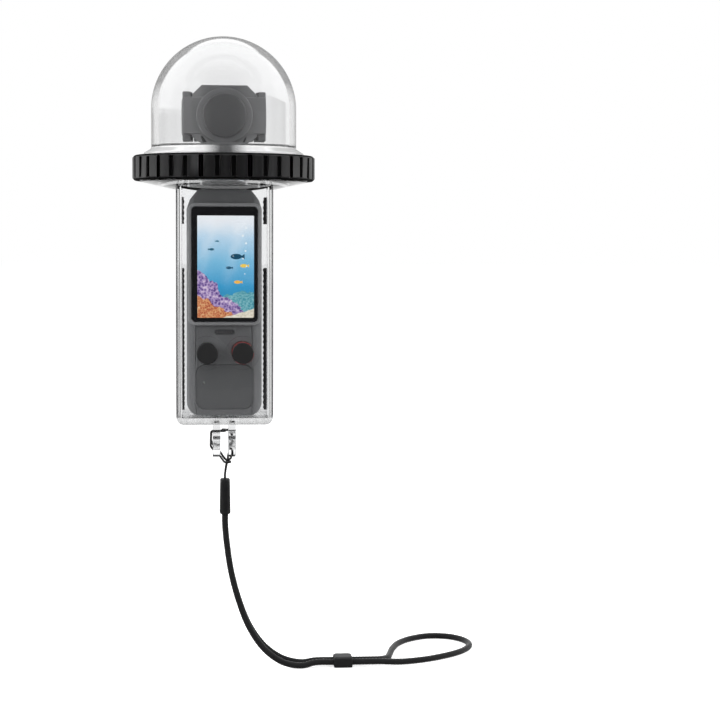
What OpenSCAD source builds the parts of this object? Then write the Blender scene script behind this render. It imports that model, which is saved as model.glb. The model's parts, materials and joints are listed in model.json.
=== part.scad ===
// Pocket gimbal camera in a clear dive housing with a dome port, a finger mount and a wrist strap.
// The origin is the centre of the finger mount's cross bore. +X is right, +Y is away from the user,
// +Z is up. The camera's screen faces -Y and its lens faces +Y.

/* [Finger mount] */
// Radius of the cross bore through both fingers
bore_r = 2.55; // [2.1:0.05:3.1]
// Thickness of one finger
finger_t = 3.2; // [2.6:0.1:4]
// Gap between the two fingers
finger_gap = 3.4; // [2.8:0.1:4.2]
// Radius of a finger's round end
finger_r = 6.8; // [5.6:0.1:8.2]
// Height of the housing's base above the bore's centre
finger_drop = 9; // [7.5:0.5:11]
// Height of the lanyard eye above the bore's centre
eye_z = 4.4; // [4:0.1:5]
// Height of the lanyard eye's slot
eye_h = 1.6; // [1.4:0.1:1.8]
// Length of the lanyard eye's slot
eye_l = 3.6; // [3:0.1:4.4]

/* [Camera grip] */
// Width of the grip
grip_w = 32; // [28:0.5:39]
// Height of the grip
grip_h = 96; // [92:0.5:120]
// Distance from the pan axis to the grip's front face
grip_front = 11.2; // [10.8:0.1:13.5]
// Distance from the pan axis to the grip's rear face
grip_back = 12.4; // [11.8:0.1:15]
// Wall of the grip's shells
grip_wall = 1.6; // [1.2:0.1:2]
// Radius of the grip's upright edges
grip_edge_r = 5; // [3:0.5:7]
// Radius of the grip's lower corners, seen from the front
grip_corner_r = 5.4; // [3:0.1:7]
// Width of the grip's top, where the neck starts
neck_w = 22.4; // [21:0.2:26]
// Distance from the pan axis to the plane where the two shells meet
shell_split = 1; // [-1:0.5:3]

/* [Screen] */
// Width of the cover glass
glass_w = 27.8; // [22:0.2:29]
// Height of the cover glass
glass_h = 48.6; // [40:0.2:54]
// Thickness of the cover glass
glass_t = 1; // [0.7:0.1:1.4]
// Thickness of the display panel behind the glass
panel_t = 1; // [0.7:0.1:1.4]
// How far the screen stands proud of the grip's front face
screen_t = 3.1; // [2.9:0.1:3.8]
// Rim of the screen frame around the glass
screen_rim = 1.6; // [0.8:0.1:1.8]
// Distance from the grip's top to the glass
screen_top = 7.3; // [6:0.1:9]
// Radius of the screen's swivel hub
pivot_r = 4; // [3:0.1:5]

/* [Keys and plungers] */
// Distance between the two control axes
key_pitch = 15; // [13.5:0.1:16.5]
// Distance from the glass's lower edge to the control axes
key_drop = 12.9; // [11:0.1:15]
// Radius of the record key
key_r = 4.4; // [3.6:0.1:4.8]
// Radius of the joystick's cap
stick_r = 3.6; // [3:0.1:4.2]
// How far a key stands out of the grip
key_proud = 1.1; // [0.9:0.1:1.4]
// Working travel of a plunger and of the key under it
key_travel = 0.8; // [0.5:0.1:0.9]
// Radius of a plunger's stem
stem_r = 1.75; // [1.4:0.05:2.1]
// Radius of a plunger's cap
cap_r = 4.5; // [4.2:0.1:5.2]
// Thickness of a plunger's cap
cap_t = 3; // [2.4:0.1:4]
// Wire diameter of a plunger's return spring
wire_d = 0.5; // [0.4:0.05:0.6]
// Coils in a plunger's return spring
spring_turns = 2.5; // [2:0.5:2.5]

/* [Housing] */
// Front and rear walls of the housing
housing_wall = 3; // [2.4:0.1:3.6]
// Side walls of the housing
side_wall = 1.8; // [1.5:0.1:2.4]
// Thickness of the housing's base
housing_base = 2.6; // [2:0.1:3.4]
// Radius of the housing's upright edges
housing_edge_r = 2; // [1.5:0.5:7]
// Radius of the housing's lower corners, seen from the front
housing_corner_r = 3.4; // [2:0.1:4]
// Space between the grip and a side wall
side_gap = 2.7; // [2:0.1:3.2]
// Space between the screen and the front wall
front_gap = 1.4; // [1.2:0.1:2]
// Space between the grip and the rear wall
rear_gap = 2; // [1.4:0.1:2.6]
// Thickness of the pad under the grip
base_pad_t = 0.8; // [0.6:0.1:1.2]
// Height of the sealing face above the grip's top
seal_rise = 8.6; // [8.4:0.1:10]

/* [Dome and ring] */
// Outer radius of the dome
dome_r = 31; // [29.5:0.5:38]
// Wall of the dome
dome_wall = 2.5; // [2:0.1:3]
// Height of the dome's straight part above the sealing face
dome_straight = 25.8; // [24:0.2:31]
// How far the dome's collar stands out from the dome
collar_out = 3.2; // [2.6:0.1:4]
// How far the flange under the clamp ring reaches beyond the collar
flange_out = 2; // [1.6:0.1:2.6]
// Thickness of the dome's foot
foot_t = 3.2; // [2.6:0.1:4]
// Wall of the clamp ring over its ribs
ring_wall = 2.5; // [2:0.1:3.4]
// How far the ring reaches below the sealing face
ring_skirt = 4.8; // [4:0.1:5.4]
// Thickness of the ring's lip over the dome's foot
ring_lip = 2.4; // [1.8:0.1:3]
// Number of ribs on the ring
rib_count = 36; // [24:1:48]
// Width of the groove between two ribs
rib_groove = 1.8; // [1.2:0.1:2.4]
// Depth of the groove between two ribs
rib_depth = 1; // [0.6:0.1:1.2]
// Thickness of the dome's sealing ring
seal_d = 1.48; // [1.2:0.02:2]

/* [Gimbal] */
// Height of the gimbal's centre above the grip's top
gimbal_rise = 30.9; // [30.5:0.1:35]
// Radius of the pan motor's fixed half
pan_stator_r = 9.6; // [8.4:0.1:9.8]
// Radius of the pan motor's turning half
pan_rotor_r = 10.8; // [9.5:0.1:12.5]
// Width of the arm's eight-sided plate
plate_w = 26.8; // [24:0.2:28]
// Height of the arm's eight-sided plate
plate_h = 25.2; // [24:0.2:27]
// Cut of the plate's corners
plate_cut = 4; // [3:0.1:6]
// Half the width of the arm's crossbar in front of the pods
crossbar_half = 17; // [16:0.1:17.6]
// Height of the arm's crossbar
crossbar_h = 15.2; // [13:0.2:17]
// Radius of the roll motor's cap
roll_cap_r = 9.3; // [8.6:0.1:11]
// Half the width of the yoke over its two pods
yoke_half = 17.6; // [17:0.1:19]
// Height of the yoke's band
yoke_h = 16; // [14:0.5:18]
// Height of the yoke's two front tabs, which stand out above and below the crossbar
yoke_tab_h = 20.8; // [18:0.2:21.4]
// Radius of a pod at the end of the yoke
pod_r = 10.5; // [10:0.1:11.4]
// Thickness of a pod
pod_t = 4.4; // [4.2:0.1:4.8]
// Distance from the pan axis to the tilt axis
tilt_y = 5.5; // [5:0.1:6.4]
// Half the height of the camera head
head_half = 10; // [9.2:0.1:10.2]
// Distance from the tilt axis to the head's front
head_front = 8.5; // [7.6:0.1:8.8]
// Distance from the tilt axis to the lens ring's front
lens_front = 12; // [11.2:0.1:12.4]
// Radius of the lens ring
lens_r = 7.9; // [7.6:0.1:8.4]
// Wall of the camera head
head_wall = 1.5; // [1.2:0.1:1.8]

/* [Wrist strap] */
// Diameter of the thin string at the lanyard eye
string_d = 1; // [0.7:0.05:1]
// Diameter of the wrist cord
cord_d = 2.8; // [2.2:0.1:2.8]
// Width of the ferrule
ferrule_w = 4.8; // [4:0.1:6]
// Depth of the ferrule
ferrule_d = 7.2; // [6.4:0.1:8.4]
// Length of the slider along the cords
slider_l = 8; // [6:0.1:9.6]
// Wall of the slider outside its two bores
slider_wall = 0.75; // [0.6:0.05:0.95]

/* [Hidden] */
$fn = 64;
smooth_fn = 180;

// Clearances
run_fit = 0.05;
shaft_fit = 0.02;
slide_gap = 0.3;
seat_gap = 0.1;
over = 1;

// Colours
clear_plastic = [0.86, 0.9, 0.92, 0.35];
frosted_plastic = [0.8, 0.84, 0.86, 0.6];
ring_black = [0.06, 0.06, 0.07];
grip_grey = [0.26, 0.27, 0.28];
gimbal_grey = [0.4, 0.41, 0.42];
cap_grey = [0.28, 0.29, 0.3];
glass_black = [0.03, 0.03, 0.04];
soft_black = [0.08, 0.08, 0.09];
steel = [0.72, 0.73, 0.75];
copper = [0.72, 0.45, 0.2];
board_green = [0.08, 0.3, 0.16];
cord_black = [0.05, 0.05, 0.05];

// Levels from the bottom up
base_z = finger_drop;
cavity_z = base_z + housing_base;
grip_z0 = cavity_z + base_pad_t;
grip_z1 = grip_z0 + grip_h;
seal_z = grip_z1 + seal_rise;
ring_z0 = seal_z - ring_skirt;
foot_z1 = seal_z + foot_t;
washer_t = 0.4;
washer_z1 = foot_z1 + washer_t;
ring_z1 = washer_z1 + ring_lip;
dome_cz = seal_z + dome_straight;
gimbal_z = grip_z1 + gimbal_rise;

// Radii from the dome outwards
dome_in = dome_r - dome_wall;
collar_r = dome_r + collar_out;
flange_r = collar_r + flange_out;
ring_bore = flange_r + slide_gap;
ring_r = ring_bore + ring_wall;

// Housing
cavity_x = grip_w / 2 + side_gap;
cavity_y0 = -(grip_front + screen_t + front_gap);
cavity_y1 = grip_back + rear_gap;
body_x = cavity_x + side_wall;
body_y0 = cavity_y0 - housing_wall;
body_y1 = cavity_y1 + housing_wall;
cavity_edge_r = max(housing_edge_r - housing_wall, 1);
mouth_r = 26;
mouth_depth = 5.4;
mouth_z = seal_z - mouth_depth;
dish_r0 = 21;
dish_h = 3.2;
dish_step = 0.8;
dish_lip = 0.4;
seal_in = 0.85;
seal_mid_r = (dome_in + flange_r) / 2 - seal_in;
groove_w = seal_d + 0.9;

// Dome and ring
skirt_r = dome_r - 0.2;
skirt_in = dome_in - 0.3;
skirt_top = dome_cz - 2;
skirt_lap = 6;
collar_top = ring_z1 + 1;
collar_cone = 2.1;
lip_bore = collar_r + slide_gap;
ring_rim = 1.1;
ring_chamfer = 1;
rib_root_r = ring_r - rib_depth;

// Side and rear pads
side_pad_t = 1.4;
pad_y0 = -4;
pad_y1 = 6;
pad_low_z0 = grip_z0 + 1.6;
pad_low_z1 = grip_z0 + 62.6;
pad_high_z0 = grip_z1 - 14.5;
pad_high_z1 = grip_z1 - 3;
rear_pad_x = 12;
rear_pad_z0 = grip_z0 + 20;
rear_pad_z1 = grip_z1 - 14;
base_pad_x = 10;

// Screen
screen_z1 = grip_z1 - screen_top;
screen_z0 = screen_z1 - glass_h;
screen_mid = (screen_z0 + screen_z1) / 2;
screen_y0 = -(grip_front + screen_t);
glass_y1 = screen_y0 + glass_t;
panel_y1 = glass_y1 + panel_t;
frame_y0 = screen_y0 + seat_gap;
panel_margin = 1.5;
glass_corner_r = 1.8;

// Controls, with each plunger in line with the key that it pushes
key_z = screen_z0 - key_drop;
record_x = key_pitch / 2;
mode_x = -key_pitch / 2;
key_y0 = -(grip_front + key_proud);
tip_y = key_y0 - seat_gap;
boss_out = 4;
boss_y0 = body_y0 - boss_out;
boss_wall = 2.4;
pocket_r = cap_r + 0.2;
boss_r = pocket_r + boss_wall;
pocket_floor = cavity_y0 - 2.2;
guide_r = 4;
guide_y1 = tip_y - 1.2;
clip_t = 0.4;
clip_y0 = guide_y1 + 0.2;
clip_r = 3.2;
clip_groove = 0.55;
cap_y1 = boss_y0 + 0.7;
cap_y0 = cap_y1 - cap_t;
oring_r = 0.3;
oring_mid_r = stem_r + run_fit - oring_r - 0.03;
oring_y = cavity_y0 - 0.2;
oring_groove_w = 0.8;
key_gap = 0.2;
stick_gap = 0.4;
key_back = -(grip_front - grip_wall) - 0.3;
switch_gap = 0.1;

// Grip and its contents
shoulder_z = grip_z1 - 8.2;
shoulder_mid_z = grip_z1 - 4.2;
shoulder_in = 1.4;
grip_half = grip_w / 2;
neck_half = neck_w / 2;
split_y = shell_split;
front_slope_z = grip_z1 - 5.2;
front_slope = 0.6;
rear_slope_z = grip_z1 - 8.4;
rear_slope = 1.6;
panel_gap = 1.1;
grip_panel_x = 12.1;
grip_panel_t = 0.6;
grip_panel_inset = 0.3;
grip_panel_z0 = grip_z0 + 2.7;
grip_panel_z1 = key_z - key_r - panel_gap;
grip_panel_r = min(4, (grip_panel_z1 - grip_panel_z0) / 2 - 0.2);
lamp_r = 0.5;
lamp_x = -8.7;
lamp_z = grip_panel_z1 - 7.7;
mic_z = screen_z0 - 4.5;
mic_half_w = 4.2;
mic_half_h = 1;
mic_t = 0.8;
usb_w = 9;
usb_d = 3.2;
usb_l = 7;
cell_x = 10.5;
cell_z0 = grip_z0 + 9;
cell_z1 = key_z + 24;
cell_y1 = grip_back - grip_wall - seat_gap;
board_t = 1.2;
board_y0 = -(grip_front - grip_wall) + 2.8;
board_y1 = board_y0 + board_t;
board_x = 12;
board_z0 = grip_z0 + 11;
board_z1 = grip_z1 - 16;
cell_y0 = board_y1 + slide_gap;

// Gimbal
pan_gap = 0.4;
stator_z0 = grip_z1 - 5;
stator_z1 = grip_z1 + 3;
rotor_z0 = stator_z1 + pan_gap;
rotor_z1 = rotor_z0 + 5.8;
foot_z0 = rotor_z0 + 1.2;
pan_shaft_r = 2;
shaft_cap = 1.6;
shaft_skin = 0.4;
stator_step = 1.4;
motor_inset = 0.5;
bearing_inset = 0.8;
bearing_r = 4;
arm_y0 = -15.3;
arm_y1 = -9.9;
arm_boss_t = 1;
crossbar_out = 0.5;
arm_foot_x = 9;
arm_post_x = 8;
plate_half = plate_h / 2;
roll_boss_r = plate_half - 1.1;
roll_cap_t = 1.4;
roll_cap_edge = 0.5;
roll_pocket_r = 9;
roll_pocket_y0 = -14;
roll_shaft_r = 2;
band_y0 = arm_y1 + 0.5;
band_y1 = band_y0 + 2.5;
pod_x0 = yoke_half - pod_t;
pod_floor = 1.2;
pod_pocket_r = pod_r - 1.9;
side_arm_inset = 0.2;
tab_inset = 0.8;
head_x = pod_x0 - pan_gap;
head_round = 3;
head_split = 3;
tilt_shaft_r = 1.5;
tilt_bearing_r = 3.5;
lens_tube_r = 7;
lens_tube_back = 2.2;
lens_seat = 9.5;
glass_bore_r = 5.6;
lens_ledge = 1.2;
glass_sink = 0.3;
lens_dome_r = 12;
board_half_x = 9;
board_half_z = 8;

// Wrist strap
strap_x = 0.4;
ferrule_z1 = -16.4;
ferrule_z0 = -31.6;
run_y = 2;
run_z = -97.6;
slider_bore = cord_d / 2 + 0.15;
slider_x0 = 48;
slider_half_y = run_y + slider_bore + slider_wall;
slider_half_z = slider_bore + slider_wall;

// The string from the ferrule, behind the right finger and into the gap between the fingers
string_up = [
    [0.4, 0.6, -16.4], [0.4, 0.6, -14.4], [1.4, 0.6, -8.8], [1.7, 1.5, -7.5], [1.8, 3.7, -6.9],
    [2.2, 6.2, -5.9], [3, 8.2, -3.9], [3.6, 9.1, -1.6], [3.7, 9.2, 0.8], [3.3, 9.2, 2.7], [2.2, 9.2, 3.7],
    [0.8, 9, 4], [-0.3, 7.9, 4.2], [-0.6, 6, 4.3], [-0.6, 3, 4.4], [-0.9, 1.2, 4.4], [-1.9, 0.6, 4.4]
];
// On through the left finger's eye and down behind that finger to the hitch
string_left = [
    [-4.4, 0.6, 4.4], [-5.2, 0.9, 4.2], [-5.6, 2.2, 3.4], [-5.6, 4.6, 1.6], [-5.5, 6.9, -0.6],
    [-4.6, 7.6, -2.6], [-3.2, 7.1, -4.1], [-1.6, 5.7, -5.5], [0, 3.6, -7.6], [1.5, 1.9, -8.9]
];
// Round the two hanging strands and back below the first strand to the eye
string_back = [
    [2.4, 1.3, -9], [2.7, 0, -9.1], [2.4, -1.3, -9.1], [1.4, -1.8, -9.1], [0.2, -1.4, -9],
    [-0.5, 0.8, -8.4], [-1.5, 3.4, -7.3], [-2.9, 5.6, -6], [-4.5, 6.7, -4.6], [-5.6, 6.2, -3],
    [-5.7, 4, -1], [-5.7, 1.6, 0.9], [-5.6, -0.1, 2.7], [-5.4, -0.7, 3.9], [-4.4, -0.6, 4.4]
];
// From the eye through the gap, behind the right finger and down to the ferrule
string_down = [
    [-1, -0.6, 4.4], [0, -0.3, 4.4], [0.55, 0.6, 4.4], [0.55, 3, 4.4], [0.55, 6, 4.2], [1, 7.6, 4],
    [2.2, 8.1, 3.7], [3.3, 8.1, 2.7], [3.7, 8.1, 1], [3.7, 8, -0.7], [3.5, 7.5, -2.7], [3.2, 5.9, -5.1],
    [3, 3.4, -6.9], [2.9, 0.2, -7.5], [1.4, -0.6, -8.8], [0.4, -0.6, -14.4], [0.4, -0.6, -16.4]
];

// One run of the cord from the ferrule to the wrist loop; the other mirrors it
cord_run = [
    [0.4, 1.5, -31.6], [0.4, 1.5, -36], [1.2, 1.6, -45], [3, 1.8, -57], [6.4, 2.4, -70],
    [11.2, 3.2, -82], [18, 4, -91.5], [26, 4.2, -97], [34, 3.2, -98.6], [40, 2, -97.6],
    [49, 2, -97.6], [58, 2, -97.6], [68, 2, -97.6]
];
wrist_loop = [
    [77, 0, -98.4], [88, 4, -98.6], [99, 11, -98.6], [108, 20, -98.6], [113, 31, -98.6],
    [112, 42, -98.6], [106, 50, -98.6], [97, 52, -98.6], [88, 47, -98.6], [81, 38, -98.6],
    [77, 27, -98.6], [74.5, 16, -98.6], [72.5, 8, -98.4]
];

function flip_y(points) = [for (p = points) [p[0], -p[1], p[2]]];
function reversed(points) = [for (i = [len(points) - 1 : -1 : 0]) points[i]];
string_route = concat(string_up, string_left, string_back, string_down);
cord_route = concat(flip_y(cord_run), wrist_loop, reversed(cord_run));

// Return spring: a straight end, the coils, and a straight end, along +Y from the pocket's floor
spring_r = pocket_r - 1.3;
spring_l = pocket_floor - cap_y1;
spring_steps = 8 * spring_turns;
coil_l = spring_l - 2 * wire_d;
function coil_point(i) = let (a = 360 * i / 8)
    [spring_r * cos(a), wire_d + coil_l * i / spring_steps, spring_r * sin(a)];
function last_angle() = 360 * spring_turns;
spring_route = concat(
    [[spring_r, 0, 0]],
    [for (i = [0 : spring_steps]) coil_point(i)],
    [[spring_r * cos(last_angle()), spring_l, spring_r * sin(last_angle())]]
);
function coil_gaps(path, apart) =
    [for (i = [0 : len(path) - 1], j = [0 : len(path) - 1]) if (j - i >= apart) norm(path[i] - path[j])];
echo(spring_least_gap = min(coil_gaps(spring_route, 6)) - wire_d);

// Tube of a given radius and number of sides swept along a list of points
function unit(v) = v / norm(v);
function tangent(path, i) =
    let (a = max(i - 1, 0), b = min(i + 1, len(path) - 1)) unit(path[b] - path[a]);
function square_to(v, t) = unit(v - (v * t) * t);
function normals(path, first) = [
    for (i = 0, n = square_to(first, tangent(path, 0)); i < len(path);
        i = i + 1, n = i < len(path) ? square_to(n, tangent(path, i)) : n) n
];

module tube(path, r, sides, first) {
    ns = normals(path, first);
    last = len(path) - 1;
    points = [
        for (i = [0 : last], k = [0 : sides - 1])
            let (t = tangent(path, i), a = 360 * k / sides)
            path[i] + r * (cos(a) * ns[i] + sin(a) * cross(t, ns[i]))
    ];
    skin = [
        for (i = [0 : last - 1], k = [0 : sides - 1], half = [0, 1])
            let (k1 = (k + 1) % sides, a = i * sides + k, b = i * sides + k1,
                c = (i + 1) * sides + k1, d = (i + 1) * sides + k)
            half == 0 ? [a, d, c] : [a, c, b]
    ];
    start = [for (k = [1 : sides - 2]) [0, k, k + 1]];
    end = [for (k = [1 : sides - 2]) [last * sides, last * sides + k + 1, last * sides + k]];
    polyhedron(points, concat(skin, start, end), convexity = 10);
}

// Plain shapes placed by their limits
module block(x0, x1, y0, y1, z0, z1) {
    translate([x0, y0, z0]) cube([x1 - x0, y1 - y0, z1 - z0]);
}

module rod_x(x0, x1, r, y, z) {
    translate([x0, y, z]) rotate([0, 90, 0]) cylinder(h = x1 - x0, r = r);
}

module rod_y(y0, y1, r, x, z) {
    translate([x, y0, z]) rotate([-90, 0, 0]) cylinder(h = y1 - y0, r = r);
}

module rod_z(z0, z1, r) {
    translate([0, 0, z0]) cylinder(h = z1 - z0, r = r);
}

module ring_z(z0, z1, r0, r1) {
    rotate_extrude() translate([r0, z0]) square([r1 - r0, z1 - z0]);
}

module round_rect(x0, x1, y0, y1, r) {
    translate([x0 + r, y0]) square([x1 - x0 - 2 * r, y1 - y0]);
    translate([x0, y0 + r]) square([x1 - x0, y1 - y0 - 2 * r]);
    for (x = [x0 + r, x1 - r], y = [y0 + r, y1 - r]) {
        translate([x, y]) circle(r);
    }
}

// A plate that faces -Y, drawn in X and Z
module plate_y(y0, y1) {
    translate([0, y1, 0]) rotate([90, 0, 0]) linear_extrude(height = y1 - y0) children();
}

// A plate that faces +X, drawn in Y and Z
module plate_x(x0, x1) {
    translate([x0, 0, 0]) rotate([90, 0, 90]) linear_extrude(height = x1 - x0) children();
}

module sleeve_y(y0, y1, r0, r1, x, z) {
    translate([x, y0, z]) rotate([-90, 0, 0]) ring_z(0, y1 - y0, r0, r1);
}

module sleeve_x(x0, x1, r0, r1, y, z) {
    translate([x0, y, z]) rotate([0, 90, 0]) ring_z(0, x1 - x0, r0, r1);
}

// Housing
module dish() {
    rotate_extrude() polygon([
        [0, ring_z0 - dish_lip - dish_h], [dish_r0, ring_z0 - dish_lip - dish_h],
        [flange_r - dish_step, ring_z0 - dish_lip], [flange_r - dish_step, ring_z0],
        [flange_r, ring_z0 + dish_lip], [flange_r, seal_z], [0, seal_z]
    ]);
}

module housing_block() {
    top_z = mouth_z + housing_corner_r + over;
    intersection() {
        translate([0, 0, base_z]) linear_extrude(height = mouth_z - base_z)
            round_rect(-body_x, body_x, body_y0, body_y1, housing_edge_r);
        plate_y(body_y0 - over, body_y1 + over)
            round_rect(-body_x, body_x, base_z, top_z, housing_corner_r);
    }
}

module plunger_boss(x) {
    rod_y(boss_y0, cavity_y0, boss_r, x, key_z);
    rod_y(cavity_y0 - over, guide_y1, guide_r, x, key_z);
}

module plunger_bore(x) {
    rod_y(boss_y0 - over, pocket_floor, pocket_r, x, key_z);
    rod_y(boss_y0 - over, guide_y1 + over, stem_r + run_fit, x, key_z);
}

module housing_body() {
    color(clear_plastic) difference() {
        union() {
            difference() {
                union() {
                    housing_block();
                    dish();
                }
                translate([0, 0, cavity_z]) linear_extrude(height = seal_z - cavity_z)
                    round_rect(-cavity_x, cavity_x, cavity_y0, cavity_y1, cavity_edge_r);
                rod_z(mouth_z, seal_z + over, mouth_r);
                ring_z(seal_z - seal_d - shaft_fit, seal_z + over,
                    seal_mid_r - groove_w / 2, seal_mid_r + groove_w / 2);
            }
            plunger_boss(record_x);
            plunger_boss(mode_x);
        }
        plunger_bore(record_x);
        plunger_bore(mode_x);
    }
}

module finger(x0) {
    difference() {
        union() {
            rod_x(x0, x0 + finger_t, finger_r, 0, 0);
            block(x0, x0 + finger_t, -finger_r, finger_r, 0, base_z);
        }
        rod_x(x0 - over, x0 + finger_t + over, bore_r, 0, 0);
        plate_x(x0 - over, x0 + finger_t + over)
            round_rect(-eye_l / 2, eye_l / 2, eye_z - eye_h / 2, eye_z + eye_h / 2, eye_h / 2 - 0.05);
    }
}

module finger_mount() {
    color(clear_plastic) {
        finger(finger_gap / 2);
        finger(-finger_gap / 2 - finger_t);
    }
}

module side_pads() {
    color(soft_black) for (side = [0, 1], z = [[pad_low_z0, pad_low_z1], [pad_high_z0, pad_high_z1]]) {
        mirror([side, 0, 0]) block(cavity_x - side_pad_t, cavity_x, pad_y0, pad_y1, z[0], z[1]);
    }
}

module rear_pad() {
    color(soft_black) plate_y(grip_back + seat_gap, cavity_y1)
        round_rect(-rear_pad_x, rear_pad_x, rear_pad_z0, rear_pad_z1, 2);
}

module base_pad() {
    color(frosted_plastic) translate([0, 0, cavity_z]) linear_extrude(height = base_pad_t)
        round_rect(-base_pad_x, base_pad_x, -grip_front + grip_edge_r, grip_back - grip_edge_r, 2);
}

// Dome, its seal and the clamp ring
module dome_port() {
    color(clear_plastic) difference() {
        union() {
            rotate_extrude() polygon([
                [0, seal_z], [flange_r, seal_z], [flange_r, foot_z1], [collar_r, foot_z1],
                [collar_r, collar_top], [skirt_r, collar_top + collar_cone],
                [skirt_r, skirt_top], [0, skirt_top]
            ]);
            intersection() {
                translate([0, 0, dome_cz]) sphere(dome_r, $fn = smooth_fn);
                rod_z(skirt_top - skirt_lap, dome_cz + dome_r + over, dome_r + over);
            }
        }
        rod_z(seal_z - over, skirt_top, skirt_in);
        translate([0, 0, dome_cz]) sphere(dome_in, $fn = smooth_fn);
    }
}

module dome_seal() {
    color(soft_black) translate([0, 0, seal_z - seal_d / 2 - shaft_fit / 2])
        rotate_extrude() translate([seal_mid_r, 0]) circle(seal_d / 2);
}

module clamp_ring() {
    color(ring_black) difference() {
        rotate_extrude() polygon([
            [ring_bore, ring_z0], [ring_r - ring_chamfer, ring_z0], [ring_r, ring_z0 + ring_chamfer],
            [ring_r, ring_z1 - ring_chamfer], [ring_r - ring_chamfer, ring_z1],
            [lip_bore + ring_chamfer / 2, ring_z1], [lip_bore, ring_z1 - ring_chamfer / 2],
            [lip_bore, washer_z1], [ring_bore, washer_z1]
        ]);
        for (i = [0 : rib_count - 1]) {
            rotate([0, 0, (i + 0.5) * 360 / rib_count])
                block(rib_root_r, ring_r + over, -rib_groove / 2, rib_groove / 2,
                    ring_z0 + ring_rim, ring_z1 - ring_rim);
        }
    }
}

module slip_washer() {
    color(frosted_plastic) ring_z(foot_z1, washer_z1, collar_r + seat_gap, flange_r - seat_gap);
}

// Plungers that reach the keys from outside
module plunger(x) {
    color(ring_black) difference() {
        union() {
            rod_y(cap_y0, cap_y1, cap_r, x, key_z);
            rod_y(cap_y1 - over, tip_y, stem_r, x, key_z);
        }
        sleeve_y(oring_y - oring_groove_w / 2, oring_y + oring_groove_w / 2,
            oring_mid_r - oring_r - shaft_fit, stem_r + over, x, key_z);
        sleeve_y(clip_y0, clip_y0 + clip_t, stem_r - clip_groove, stem_r + over, x, key_z);
    }
}

module plunger_seal(x) {
    color(soft_black) translate([x, oring_y, key_z]) rotate([-90, 0, 0])
        rotate_extrude() translate([oring_mid_r, 0]) circle(oring_r);
}

module plunger_clip(x) {
    slot_w = 2 * (stem_r - clip_groove) - 0.4;
    color(steel) difference() {
        sleeve_y(clip_y0, clip_y0 + clip_t, stem_r - clip_groove + shaft_fit, clip_r, x, key_z);
        block(x - slot_w / 2, x + slot_w / 2, clip_y0 - over, clip_y0 + clip_t + over,
            key_z - clip_r - over, key_z);
    }
}

module plunger_spring(x) {
    color(steel) translate([x, cap_y1, key_z]) tube(spring_route, wire_d / 2, 6, [1, 0, 0]);
}

module record_plunger() {
    plunger(record_x);
}

module record_plunger_seal() {
    plunger_seal(record_x);
}

module record_plunger_clip() {
    plunger_clip(record_x);
}

module record_plunger_spring() {
    plunger_spring(record_x);
}

module mode_plunger() {
    plunger(mode_x);
}

module mode_plunger_seal() {
    plunger_seal(mode_x);
}

module mode_plunger_clip() {
    plunger_clip(mode_x);
}

module mode_plunger_spring() {
    plunger_spring(mode_x);
}

// Camera grip, drawn inset by a wall for its hollow
module grip_front_outline(inset) {
    half = grip_half - inset;
    r = max(grip_corner_r - inset, 1);
    round_rect(-half, half, grip_z0 + inset, shoulder_z, r);
    translate([-half, shoulder_z - r - over]) square([2 * half, r + over]);
    polygon([
        [half, shoulder_z], [half - shoulder_in, shoulder_mid_z], [neck_half - inset, grip_z1 - inset],
        [inset - neck_half, grip_z1 - inset], [shoulder_in - half, shoulder_mid_z], [-half, shoulder_z]
    ]);
}

module grip_side_outline(inset) {
    polygon([
        [inset - grip_front, grip_z0 - over], [grip_back - inset, grip_z0 - over],
        [grip_back - inset, rear_slope_z], [grip_back - rear_slope - inset, grip_z1 + over],
        [inset - grip_front + front_slope, grip_z1 + over], [inset - grip_front, front_slope_z]
    ]);
}

module grip_solid(inset) {
    r = max(grip_edge_r - inset, 1);
    intersection() {
        translate([0, 0, grip_z0]) linear_extrude(height = grip_h)
            round_rect(inset - grip_half, grip_half - inset, inset - grip_front, grip_back - inset, r);
        plate_y(-grip_front - over, grip_back + over) grip_front_outline(inset);
        plate_x(-grip_half - over, grip_half + over) grip_side_outline(inset);
    }
}

module usb_outline(grow) {
    round_rect(-usb_w / 2 - grow, usb_w / 2 + grow, split_y - usb_d / 2 - grow, split_y + usb_d / 2 + grow,
        usb_d / 2 + grow - 0.1);
}

module grip_shell() {
    difference() {
        grip_solid(0);
        grip_solid(grip_wall);
        rod_z(grip_z1 - grip_wall - over, grip_z1 + over, pan_stator_r + shaft_fit);
        translate([0, 0, grip_z0 - over]) linear_extrude(height = usb_l) usb_outline(shaft_fit);
    }
}

module grip_half_space(y0, y1) {
    block(-grip_half - over, grip_half + over, y0, y1, grip_z0 - over, grip_z1 + over);
}

module grip_panel_outline(grow) {
    round_rect(-grip_panel_x - grow, grip_panel_x + grow, grip_panel_z0 - grow, grip_panel_z1 + grow,
        grip_panel_r);
}

module grip_front_shell() {
    panel_floor = -grip_front + grip_panel_inset + grip_panel_t;
    color(grip_grey) difference() {
        intersection() {
            grip_shell();
            grip_half_space(-grip_front - over, split_y);
        }
        rod_y(-grip_front - over, 0, key_r + key_gap, record_x, key_z);
        rod_y(-grip_front - over, 0, stick_r + stick_gap, mode_x, key_z);
        rod_y(-grip_front - over, 0, pivot_r + seat_gap, 0, screen_mid);
        plate_y(-grip_front - over, panel_floor) grip_panel_outline(seat_gap);
        plate_y(-grip_front - over, -grip_front + mic_t)
            round_rect(-mic_half_w, mic_half_w, mic_z - mic_half_h, mic_z + mic_half_h, mic_half_h - 0.1);
        rod_y(-grip_front - over, 0, lamp_r + run_fit, lamp_x, lamp_z);
    }
}

module grip_rear_shell() {
    color(grip_grey) intersection() {
        grip_shell();
        grip_half_space(split_y, grip_back + over);
    }
}

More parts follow.
